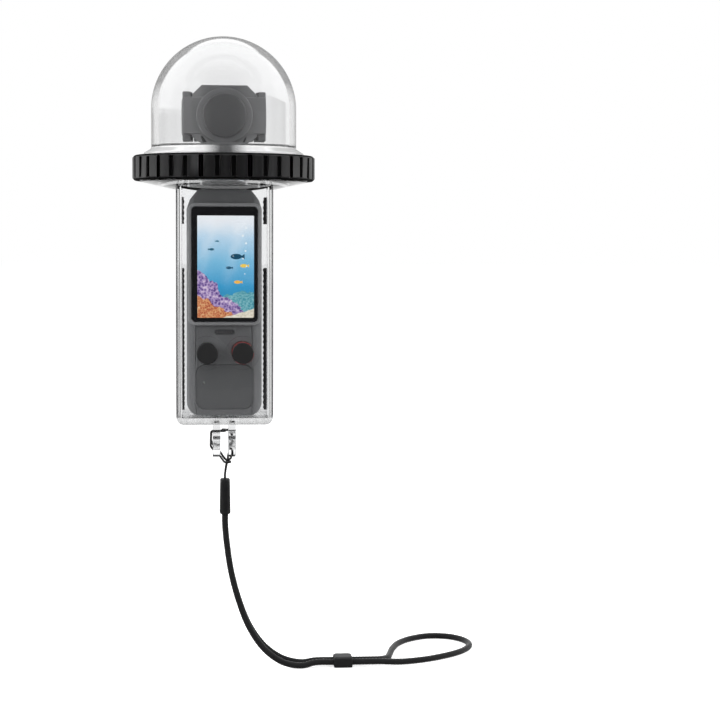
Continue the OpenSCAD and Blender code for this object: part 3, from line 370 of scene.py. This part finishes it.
# Dome: the grey rim at grazing angles is painted shade; the collar's milky sides are painted brightness
dome_mat = clear("dome_clear", (0.95, 0.952, 0.955), 0.0, dome=(DOME_R, DOME_Z),
                 painted_side_glow=(30.9, 122.5, 126.4, 0.58))
housing_mat = clear("housing_clear", (0.97, 0.975, 0.98), 0.0, frost=12.8)
finger_mat = clear("finger_clear", (0.97, 0.975, 0.98), 0.0, bore=2.75)
# Black ring: groove floors painted dark as shade; paler edges partly wear, partly painted highlight
ring_mat = solid("ring_black", (0.006, 0.006, 0.0064), 0.38, grain_mm=0.3, depth=0.2, wear_and_highlight=0.3, specular=0.75,
                 groove_shade_r=38.8)
mesh_mat = solid("mesh_grey", (0.065, 0.065, 0.067), 0.6, grain_mm=0.3, depth=0.25)
# Darker copy of the grip plastic for the lower panel: painted shade
panel_shaded_mat = solid("grip_panel_shaded_grey", (0.084, 0.085, 0.087), 0.42, grain_mm=0.22, depth=0.25, wear_and_highlight=0.12)
# Lighter copy of the grip plastic with pale edges for the screen frame: painted highlight
frame_lit_mat = solid("screen_frame_lit_grey", (0.19, 0.19, 0.193), 0.4, grain_mm=0.25, depth=0.2, wear_and_highlight=0.3)
# Near-black material for plates that stand in for shadow in gaps: painted shade
shade_plate_mat = solid("painted_shade_dark", (0.012, 0.012, 0.0125), 0.7, grain_mm=0.4, depth=0.2)
face_mat = solid("slider_face", (0.045, 0.045, 0.047), 0.45, grain_mm=0.3, depth=0.25)
slot_of = {s["node"]: s["material_slot"] for s in frame["record"]["subparts"]}


def dress(obj, slot, material=None):
    obj.data.materials.clear()
    obj.data.materials.append(material or mats[slot])


# CAD nodes keep their shapes, with eased edges
EASED = {
    "clamp_ring": 0.3, "grip_front_shell": 0.3, "grip_rear_shell": 0.3, "grip_panel": 0.15,
    "screen_frame": 0.5, "gimbal_arm": 0.25, "gimbal_yoke": 0.5, "roll_cap": 0.2, "head_rear_shell": 0.5,
    "head_front_shell": 0.5, "lens_barrel": 0.4, "pan_stator": 0.25, "record_plunger": 0.5,
    "mode_plunger": 0.5, "record_key": 0.25, "joystick": 0.5, "screen_glass": 0.15, "finger_mount": 0.35,
    "base_pad": 0.2, "battery_cell": 0.4, "main_board": 0.1, "key_switches": 0.2, "screen_pivot": 0.2,
    "strap_slider": 0.35,
}
for name, obj in nodes.items():
    for s in obj.material_slots:
        s.material = mats[slot_of[name]]
    if name in EASED:
        weld = obj.modifiers.new("weld", "WELD")
        weld.merge_threshold = 0.000002
        flat = obj.modifiers.new("flat", "DECIMATE")
        flat.decimate_type = "DISSOLVE"
        flat.angle_limit = math.radians(0.4)
        ease = obj.modifiers.new("ease", "BEVEL")
        ease.width = EASED[name] * MM
        ease.segments = 3
        ease.limit_method = "ANGLE"
        ease.angle_limit = math.radians(32)
        ease.use_clamp_overlap = False
        ease.miter_outer = "MITER_ARC"
        even = obj.modifiers.new("even", "WEIGHTED_NORMAL")
        even.weight = 100
for name, material in (("lens_glass", lens_mat), ("screen_frame", frame_lit_mat), ("housing_body", housing_mat),
                       ("finger_mount", finger_mat), ("clamp_ring", ring_mat), ("mic_mesh", mesh_mat),
                       ("grip_panel", panel_shaded_mat)):
    for s in nodes[name].material_slots:
        s.material = material


# New pieces
def piece(name, bm, slot, body, *stands_for, smooth=True, material=None):
    bmesh.ops.recalc_face_normals(bm, faces=bm.faces)
    mesh = bpy.data.meshes.new(name)
    bm.to_mesh(mesh)
    bm.free()
    if smooth:
        mesh.polygons.foreach_set("use_smooth", [True] * len(mesh.polygons))
    obj = bpy.data.objects.new(name, mesh)
    scene.collection.objects.link(obj)
    dress(obj, slot, material)
    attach(obj, body)
    if stands_for:
        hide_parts(*stands_for)
    return obj


def rounded(points, steps=5):
    """Closed or open profile of (a, b, radius) with its corners rounded."""
    out = []
    for i, (a, b, r) in enumerate(points):
        p = Vector((a, b))
        if r <= 0 or i in (0, len(points) - 1):
            out.append((a, b))
            continue
        q = Vector(points[i - 1][:2]) - p
        s = Vector(points[i + 1][:2]) - p
        half = q.angle(s) / 2
        cut = min(r / math.tan(half), 0.49 * q.length, 0.49 * s.length)
        p0, p1 = p + q.normalized() * cut, p + s.normalized() * cut
        for k in range(steps + 1):
            f = k / steps
            out.append(tuple((1 - f) ** 2 * p0 + 2 * f * (1 - f) * p + f * f * p1))
    return out


def lathe(profile, segments, place=Matrix.Identity(4)):
    """Revolves (radius, height) points in millimetres about Z; a point on the axis becomes one vertex."""
    bm = bmesh.new()
    rings = []
    for r, z in profile:
        if r < 1e-6:
            rings.append([bm.verts.new(place @ Vector((0, 0, z * MM)))])
        else:
            rings.append([
                bm.verts.new(place @ Vector((r * MM * math.cos(a), r * MM * math.sin(a), z * MM)))
                for a in (2 * math.pi * k / segments for k in range(segments))
            ])
    for low, high in zip(rings, rings[1:]):
        for k in range(segments):
            j = (k + 1) % segments
            quad = [low[k % len(low)], low[j % len(low)], high[j % len(high)], high[k % len(high)]]
            face = list(dict.fromkeys(quad))
            if len(face) > 2:
                bm.faces.new(face)
    return bm


def arc(r, z, a0, a1, steps):
    return [(r * math.cos(math.radians(a0 + (a1 - a0) * k / steps)),
             z + r * math.sin(math.radians(a0 + (a1 - a0) * k / steps))) for k in range(steps + 1)]


# The points just above the corners keep the straight walls' normals level
skirt = rounded([
    (28.3, 126.6, 0), (28.3, 117.0, 0.3), (36.2, 117.0, 0.3), (36.2, 120.2, 0.3), (34.2, 120.2, 0.2),
    (34.2, 124.0, 0.7), (DOME_R, 126.0, 1.2), (DOME_R, 127.2, 0), (DOME_R, 130.0, 0),
])
outer = [(DOME_R, z) for z in (134.0, 138.0)] + arc(DOME_R, DOME_Z, 0.0, 89.6, 64) + [(0.0, DOME_Z + DOME_R)]
inner = [(0.0, DOME_Z + DOME_IN)] + arc(DOME_IN, DOME_Z, 89.6, 0.0, 64)
inner += [(DOME_IN, z) for z in (138.0, 133.0, 127.8, 127.5)]
bm = lathe(skirt + outer + inner + skirt[:1], 192)
bmesh.ops.remove_doubles(bm, verts=bm.verts[:], dist=1e-7)
piece("dome_shell", bm, "clear_polycarbonate", "dome", "dome_port", material=dome_mat)


# Wrist strap
UP = [
    (0.4, 0.6, -16.4), (0.4, 0.6, -14.4), (1.4, 0.6, -8.8), (1.7, 1.5, -7.5), (1.8, 3.7, -6.9),
    (2.2, 6.2, -5.9), (3, 8.2, -3.9), (3.6, 9.1, -1.6), (3.7, 9.2, 0.8), (3.3, 9.2, 2.7), (2.2, 9.2, 3.7),
    (0.8, 9, 4), (-0.3, 7.9, 4.2), (-0.6, 6, 4.3), (-0.6, 3, 4.4), (-0.9, 1.2, 4.4), (-1.9, 0.6, 4.4),
]
LEFT = [
    (-4.4, 0.6, 4.4), (-5.2, 0.9, 4.2), (-5.6, 2.2, 3.4), (-5.6, 4.6, 1.6), (-5.5, 6.9, -0.6),
    (-4.6, 7.6, -2.6), (-3.2, 7.1, -4.1), (-1.6, 5.7, -5.5), (0, 3.6, -7.6), (1.5, 1.9, -8.9),
]
BACK = [
    (2.4, 1.3, -9), (2.7, 0, -9.1), (2.4, -1.3, -9.1), (1.4, -1.8, -9.1), (0.2, -1.4, -9),
    (-0.5, 0.8, -8.4), (-1.5, 3.4, -7.3), (-2.9, 5.6, -6), (-4.5, 6.7, -4.6), (-5.6, 6.2, -3),
    (-5.7, 4, -1), (-5.7, 1.6, 0.9), (-5.6, -0.1, 2.7), (-5.4, -0.7, 3.9), (-4.4, -0.6, 4.4),
]
DOWN = [
    (-1, -0.6, 4.4), (0, -0.3, 4.4), (0.55, 0.6, 4.4), (0.55, 3, 4.4), (0.55, 6, 4.2), (1, 7.6, 4),
    (2.2, 8.1, 3.7), (3.3, 8.1, 2.7), (3.7, 8.1, 1), (3.7, 8, -0.7), (3.5, 7.5, -2.7), (3.2, 5.9, -5.1),
    (3, 3.4, -6.9), (2.9, 0.2, -7.5), (1.4, -0.6, -8.8), (0.4, -0.6, -14.4), (0.4, -0.6, -16.4),
]
RUN = [
    (0.4, 1.5, -31.6), (0.4, 1.5, -36), (1.2, 1.6, -45), (3, 1.8, -57), (6.4, 2.4, -70),
    (11.2, 3.2, -82), (18, 4, -91.5), (26, 4.2, -97), (34, 3.2, -98.6), (40, 2, -97.6),
    (49, 2, -97.6), (58, 2, -97.6), (67.4, 2, -97.6), (68, 2, -97.6),
]
LOOP = [
    (77, 0, -98.4), (88, 4, -98.6), (99, 11, -98.6), (108, 20, -98.6), (113, 31, -98.6),
    (112, 42, -98.6), (106, 50, -98.6), (97, 52, -98.6), (88, 47, -98.6), (81, 38, -98.6),
    (77, 27, -98.6), (74.5, 16, -98.6), (72.5, 8, -98.4),
]


def flipped(points):
    return [(x, -y, z) for x, y, z in points]


string_route = UP + LEFT + BACK + DOWN
cord_route = flipped(RUN) + LOOP + RUN[::-1]


def smooth_line(points, step):
    """Points at about one step apart on a smooth curve through the given ones, in metres."""
    p = [Vector(q) * MM for q in points]
    p = [2 * p[0] - p[1]] + p + [2 * p[-1] - p[-2]]
    fine = []
    for a, b, c, d in zip(p, p[1:], p[2:], p[3:]):
        k0, k1, k2 = [max((y - x).length, 1e-9) ** 0.5 for x, y in ((a, b), (b, c), (c, d))]
        m1 = (c - b + k1 * ((b - a) / k0 - (c - a) / (k0 + k1)))
        m2 = (c - b + k1 * ((d - c) / k2 - (d - b) / (k1 + k2)))
        for i in range(24):
            f = i / 24
            fine.append((2 * f ** 3 - 3 * f ** 2 + 1) * b + (f ** 3 - 2 * f ** 2 + f) * m1
                        + (3 * f ** 2 - 2 * f ** 3) * c + (f ** 3 - f ** 2) * m2)
    fine.append(p[-2])
    run = [0.0]
    for a, b in zip(fine, fine[1:]):
        run.append(run[-1] + (b - a).length)
    count = max(2, round(run[-1] / step))
    line, i = [], 0
    for k in range(count + 1):
        at = run[-1] * k / count
        while i < len(run) - 2 and run[i + 1] < at:
            i += 1
        line.append(fine[i].lerp(fine[i + 1], (at - run[i]) / max(run[i + 1] - run[i], 1e-12)))
    return line, run[-1]


def sweep(line, sides, radius, first):
    """Closed tube along a line; radius(i, k) is in metres."""
    bm = bmesh.new()
    rings = []
    n = Vector(first)
    last = len(line) - 1
    for i, p in enumerate(line):
        t = (line[min(i + 1, last)] - line[max(i - 1, 0)]).normalized()
        n = (n - t * n.dot(t)).normalized()
        b = t.cross(n)
        rings.append([
            bm.verts.new(p + radius(i, k) * (math.cos(a) * n + math.sin(a) * b))
            for k, a in ((k, 2 * math.pi * k / sides) for k in range(sides))
        ])
    for low, high in zip(rings, rings[1:]):
        for k in range(sides):
            j = (k + 1) % sides
            bm.faces.new((low[k], low[j], high[j], high[k]))
    bm.faces.new(rings[0][::-1])
    bm.faces.new(rings[-1])
    return bm


def braided(radius, strands, sides, step, pitch, depth):
    """Radius of a braid: two sets of strands that cross over and under each other."""
    def at(i, k):
        a = strands * k / sides
        s = i * step / pitch
        over = abs(math.sin(math.pi * (a + s))) * abs(math.sin(math.pi * (a - s)))
        return radius * (1 - depth + depth * over ** 0.6)
    return at


string_line, string_length = smooth_line(string_route, 0.00022)
step = string_length / (len(string_line) - 1)
weave = braided(STRING_D / 2 * MM, 4, 16, step, 0.0009, 0.16)
string = piece("strap_string_braid", sweep(string_line, 16, weave, (0, 1, 0)), "braided_cord", "housing",
               "strap_string")
cord_line, cord_length = smooth_line(cord_route, 0.00036)
step = cord_length / (len(cord_line) - 1)
weave = braided(CORD_D / 2 * MM, 8, 32, step, 0.00145, 0.11)
cord = piece("strap_cord_braid", sweep(cord_line, 32, weave, (0, 1, 0)), "braided_cord", "housing",
             "strap_cord")


def loft(sections, slot, name, body, *stands_for):
    """Closed skin through rings of points with equal counts."""
    bm = bmesh.new()
    rings = [[bm.verts.new(Vector(p) * MM) for p in ring] for ring in sections]
    count = len(rings[0])
    for low, high in zip(rings, rings[1:]):
        for k in range(count):
            j = (k + 1) % count
            bm.faces.new((low[k], low[j], high[j], high[k]))
    bm.faces.new(rings[0][::-1])
    bm.faces.new(rings[-1])
    return piece(name, bm, slot, body, *stands_for)


def oval(x0, half_x, half_y, z, groove, count=72):
    """Slot-shaped ring with a shallow groove down each broad side."""
    ring = []
    flat = half_y - half_x
    for k in range(count):
        a = 2 * math.pi * k / count
        y = flat * max(-1.0, min(1.0, 1.9 * math.sin(a))) + half_x * math.sin(a)
        x = half_x * math.copysign(abs(math.cos(a)) ** 0.8, math.cos(a))
        x *= 1 - groove * math.exp(-(y / 0.5) ** 2)
        ring.append((x0 + x, y, z))
    return ring


# Share of the full width, height and groove depth of the ferrule's rings
FERRULE = (
    (0.7, -16.4, 0), (0.82, -16.5, 0), (0.88, -16.8, 0.02), (0.9, -17.4, 0.06), (0.92, -18.6, 0.1),
    (0.94, -22, 0.1), (0.97, -26, 0.1), (0.99, -29.6, 0.1), (1.0, -30.6, 0.06), (0.99, -31.1, 0.03),
    (0.95, -31.4, 0.01), (0.86, -31.6, 0),
)
ferrule = loft([oval(0.4, 2.4 * w, 3.6 * w, z, g) for w, z, g in FERRULE],
               "strap_moulding", "strap_ferrule_moulding", "housing", "strap_ferrule")


# Springs of the plungers
def spring(name, x, node):
    line = []
    for k in range(201):
        f = k / 200
        a = 2 * math.pi * 2.5 * f
        line.append(Vector((x + 3.4 * math.cos(a), -21.75 + 3.6 * f, KEY_Z + 3.4 * math.sin(a))) * MM)
    obj = piece(name, sweep(line, 10, lambda i, k: 0.00025, (1, 0, 0)), "spring_steel", "housing", node)
    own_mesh(obj)


spring("record_spring_coil", KEY_X, "record_plunger_spring")
spring("mode_spring_coil", -KEY_X, "mode_plunger_spring")


# Pads and sealing rings
def round_corners(a, b, r, steps=4):
    """Points round a rectangle (a0, a1) by (b0, b1) with rounded corners."""
    ring = []
    for ca, cb, turn in ((a[1] - r, b[1] - r, 0), (a[0] + r, b[1] - r, 90), (a[0] + r, b[0] + r, 180),
                         (a[1] - r, b[0] + r, 270)):
        for k in range(steps + 1):
            w = math.radians(turn + 90 * k / steps)
            ring.append((ca + r * math.cos(w), cb + r * math.sin(w)))
    return ring


def ribbed(name, place, a, b, c, r, pitch, depth, slot, body, *stands_for):
    """Strip along c with rounded edges and ribs across its low-a face; place turns (a, b, c) into x, y, z."""
    count = max(8, round((c[1] - c[0]) / pitch * 8))
    sections = []
    for i in range(count + 1):
        at = c[0] + (c[1] - c[0]) * i / count
        end = min(at - c[0], c[1] - at, r)
        inset = r - math.sqrt(max(r * r - (r - end) ** 2, 0.0))
        rib = depth * (0.5 - 0.5 * math.cos(2 * math.pi * (at - c[0]) / pitch))
        half = (a[0] + a[1]) / 2
        ring = round_corners((a[0] + inset * 0.6, a[1] - inset * 0.6), (b[0] + inset, b[1] - inset), r * 0.75)
        sections.append([place(u + (rib if u < half else 0.0), v, at) for u, v in ring])
    return loft(sections, slot, name, body, *stands_for)


for k, heights in enumerate(((14.0, 75.0), (93.9, 105.4))):
    for side, hand in ((-1, "left"), (1, "right")):
        stands = ("side_pads",) if (k, side) == (0, -1) else ()
        ribbed(f"side_strip_{k}_{hand}", lambda u, v, w: (side * u, v, w), (16.95, 18.6), (-4.0, 6.0),
               heights, 0.45, 2.4, 0.3, "soft_rubber", "housing", *stands)
ribbed("rear_strip", lambda u, v, w: (v, u, w), (12.5, 14.4), (-12.0, 12.0), (32.4, 94.4), 0.7, 4.0, 0.6,
       "soft_rubber", "housing", "rear_pad")
ribbed("base_mat", lambda u, v, w: (w, v, 24.0 - u), (11.6, 12.4), (-6.2, 7.4), (-10.0, 10.0), 0.3, 2.0, 0.2,
       "frosted_plastic", "housing", "base_pad")


def sealing_ring(name, mean_r, r, place, body, node):
    """Round-section ring with the fine flash line of its mould."""
    profile = []
    for k in range(33):
        a = 2 * math.pi * k / 32
        swell = r * (1.06 if k in (8, 24) else 1.0)
        profile.append((mean_r + swell * math.cos(a), swell * math.sin(a)))
    bm = lathe(profile, 160 if mean_r > 10 else 48, place)
    bmesh.ops.remove_doubles(bm, verts=bm.verts[:], dist=1e-8)
    piece(name, bm, "soft_rubber", body, node)


sealing_ring("dome_seal_ring", 31.5, 0.72, Matrix.Translation((0, 0, 116.25 * MM)), "housing", "dome_seal")
for name, x in (("record", KEY_X), ("mode", -KEY_X)):
    place = Matrix.Translation((x * MM, -15.9 * MM, KEY_Z * MM)) @ Matrix.Rotation(-math.pi / 2, 4, "X")
    sealing_ring(name + "_seal_ring", 1.47, 0.29, place, name + "_push", name + "_plunger_seal")


# Dark plates painted as shadow in gaps on the gimbal, and a cap on the slider
def plaque(name, outline, y0, y1, slot, body, material=None):
    """Thin plate that faces -Y, drawn in X and Z, with eased edges."""
    steps = ((y1, 1.0), (y0 + 0.3 * (y1 - y0), 1.0), (y0, 0.94))
    cx = sum(p[0] for p in outline) / len(outline)
    cz = sum(p[1] for p in outline) / len(outline)
    sections = [[(cx + (x - cx) * k, y, cz + (z - cz) * k) for x, z in outline] for y, k in steps]
    obj = loft(sections, slot, name, body)
    if material:
        dress(obj, slot, material)
    return obj


# Dark plates in the gaps at the arm plate's lower corners: painted shadow
GAP_SHADOWS = {
    "arm_notch_left": [(-9.9, 130.6), (-9.2, 130.9), (-7.3, 128.2), (-7.7, 127.5), (-8.9, 127.7)],
    "arm_notch_right": [(8.6, 130.4), (9.1, 130.1), (8.3, 127.9), (7.7, 127.7), (7.5, 128.1)],
}
for name, outline in GAP_SHADOWS.items():
    plaque(name, outline, -15.36, -15.2, "gimbal_metal", "pan", shade_plate_mat)
# Dark plates behind the gaps between the arm plate and the yoke's tabs: painted shadow
SEAM_SHADOW = ((13.2, 7.7), (14.05, 7.7), (14.05, 10.1), (13.5, 10.1), (13.2, 9.6))
for side, hand in ((-1, "left"), (1, "right")):
    for end, level in ((-1, "low"), (1, "high")):
        seam_shadow = [(side * a, GIMBAL_Z + end * b) for a, b in SEAM_SHADOW]
        plaque(f"tab_seam_shadow_{hand}_{level}", seam_shadow, -9.0, -8.2, "gimbal_metal", "roll", shade_plate_mat)
cover = loft([[(x, y, z) for x, y in round_corners((48.4 + e, 55.6 - e), (-3.7 + e, 3.7 - e), 1.0, 5)]
              for z, e in ((-95.5, 0.0), (-95.15, 0.0), (-95.0, 0.12), (-94.95, 0.4))],
             "strap_moulding", "slider_cover", "slider")
dress(cover, "strap_moulding", face_mat)


# Stage, light and camera
def floor_material():
    m, t, out, where = start("floor_white")
    grain = t.noise(where, 30.0, 3.0)
    b = t.add("BsdfDiffuse", Color=t.mix(grain, (0.83, 0.83, 0.83, 1), (0.85, 0.85, 0.85, 1)))
    path = t.add("LightPath")
    bent = path.outputs["Is Transmission Ray"]
    glow = t.add("Emission", Strength=t.math("MULTIPLY", path.outputs["Is Camera Ray"], 0.62))
    glow.inputs["Color"].default_value = (1, 1, 1, 1)
    lit = t.add("AddShader")
    t.put(lit.inputs[0], b)
    t.put(lit.inputs[1], glow)
    along = t.add("SeparateXYZ", Vector=where).outputs[1]
    in_gloss = t.spread(along, 0.2, 0.9, 0.03, 0.94)
    in_clear = t.spread(along, -1.25, -1.0, 0.2, 0.9)
    pale = t.add("Emission", Strength=t.mix(bent, in_gloss, in_clear))
    pale.inputs["Color"].default_value = (1, 1, 1, 1)
    mix = t.add("MixShader", Fac=t.math("MAXIMUM", path.outputs["Is Glossy Ray"], bent))
    t.put(mix.inputs[1], lit)
    t.put(mix.inputs[2], pale)
    t.put(out.inputs["Surface"], mix)
    return m


bm = bmesh.new()
bmesh.ops.create_grid(bm, x_segments=4, y_segments=4, size=6.0)
bmesh.ops.translate(bm, verts=bm.verts, vec=(0, 4.5, FLOOR_Z * MM))
mesh = bpy.data.meshes.new("floor")
bm.to_mesh(mesh)
bm.free()
floor = bpy.data.objects.new("floor", mesh)
scene.collection.objects.link(floor)
floor.data.materials.append(floor_material())

world = bpy.data.worlds.new("studio")
scene.world = world
t = Tree(world)
direction = t.add("TexCoord").outputs["Generated"]
sep = t.add("SeparateXYZ", Vector=direction)
right, ahead, up = sep.outputs
aside = t.math("ABSOLUTE", right)
# Seen through clear pieces: a bright sky with pale cards at the dome's height, dark where the camera stands
card_top = t.spread(right, -0.05, 0.05, 0.066, 0.095)
card = t.math("MULTIPLY", t.spread(t.math("SUBTRACT", up, card_top), -0.003, 0.003, 1.0, 0.0),
              t.spread(up, 0.033, 0.04, 0.0, 1.0))
card = t.math("MULTIPLY", card, t.math("MULTIPLY", t.spread(right, -0.39, -0.35, 0.0, 1.0),
                                       t.spread(right, 0.25, 0.3, 1.0, 0.0)))
side = t.math("ABSOLUTE", t.math("SUBTRACT", right, 0.02))
glow = t.math("MINIMUM", t.spread(up, 0.12, 0.35, 1.04, 1.3), t.spread(up, 0.55, 0.9, 1.3, 0.7))
sky = t.math("SUBTRACT", glow, t.math("MULTIPLY", card, t.spread(side, 0.08, 0.22, 0.14, 0.42)))
open_air = t.math("MAXIMUM", t.spread(ahead, -0.5, 0.2, 0.05, 1.0), t.spread(aside, 0.35, 0.65, 0.0, 0.95))
through = t.math("MULTIPLY", sky, open_air)
# Seen in gloss: a box overhead, pale flanks, low side cards and the backdrop
box = t.math("MULTIPLY", t.spread(up, 0.42, 0.5, 0.0, 0.6), t.spread(ahead, -0.7, -0.45, 0.0, 1.0))
flank = t.math("MULTIPLY", t.spread(aside, 0.55, 0.9, 0.0, 0.9), t.spread(ahead, -0.08, 0.1, 0.0, 1.0))
low = t.math("MULTIPLY", t.spread(up, 0.035, 0.047, 1.0, 0.0), t.spread(ahead, -0.75, -0.45, 0.0, 1.0))
low = t.math("MULTIPLY", low, t.spread(aside, 0.35, 0.75, 0.0, 1.6))
backdrop = t.spread(ahead, 0.2, 0.75, 0.03, 0.5)
mirrored = t.math("MAXIMUM", t.math("MAXIMUM", box, flank), t.math("MAXIMUM", low, backdrop))
path = t.add("LightPath")
glossy, bent = path.outputs["Is Glossy Ray"], path.outputs["Is Transmission Ray"]
reflected = t.math("MULTIPLY", glossy, t.math("SUBTRACT", 1.0, bent))
level = t.math("ADD", t.math("MULTIPLY", reflected, mirrored), t.math("MULTIPLY", bent, through))
plain = t.math("SUBTRACT", 1.0, t.math("MAXIMUM", glossy, bent))
level = t.math("ADD", level, t.math("MULTIPLY", plain, 0.46))
level = t.math("MAXIMUM", level, path.outputs["Is Camera Ray"])
back = t.add("Background", Strength=level)
back.inputs["Color"].default_value = (1, 1, 1, 1)
t.put(t.add("OutputWorld").inputs["Surface"], back)


def lamp(name, place, aim, size, power):
    data = bpy.data.lights.new(name, "AREA")
    data.shape = "RECTANGLE"
    data.size, data.size_y = size
    data.energy = power
    obj = bpy.data.objects.new(name, data)
    scene.collection.objects.link(obj)
    obj.location = place
    obj.rotation_euler = (Vector(aim) - Vector(place)).to_track_quat("-Z", "Y").to_euler()
    obj.visible_glossy = False
    obj.visible_transmission = False


lamp("left", (-0.9, -0.22, 0.3), (0, 0, 0.08), (0.4, 0.7), 9.0)
lamp("right", (0.9, -0.2, 0.3), (0, 0, 0.07), (0.4, 0.7), 7.5)
lamp("front", (-0.25, -1.1, 0.36), (0, 0, 0.08), (0.7, 0.5), 5.5)
lamp("top", (0.0, 0.05, 1.0), (0, 0, 0.1), (0.6, 0.6), 4.0)

eye = Vector((-0.0149, -0.8, 0.0901))
aim = Vector((0.0591, 0.0, 0.0351))
lens = bpy.data.cameras.new("camera")
lens.sensor_width = 36
lens.lens = 36 * (aim - eye).length / 0.3137
camera = bpy.data.objects.new("camera", lens)
scene.collection.objects.link(camera)
camera.location = eye
camera.rotation_mode = "QUATERNION"
turn = (aim - eye).to_track_quat("-Z", "Y")
camera.rotation_quaternion = turn @ Matrix.Rotation(0.0042, 4, "Z").to_quaternion()
scene.camera = camera
scene.view_settings.view_transform = "Standard"
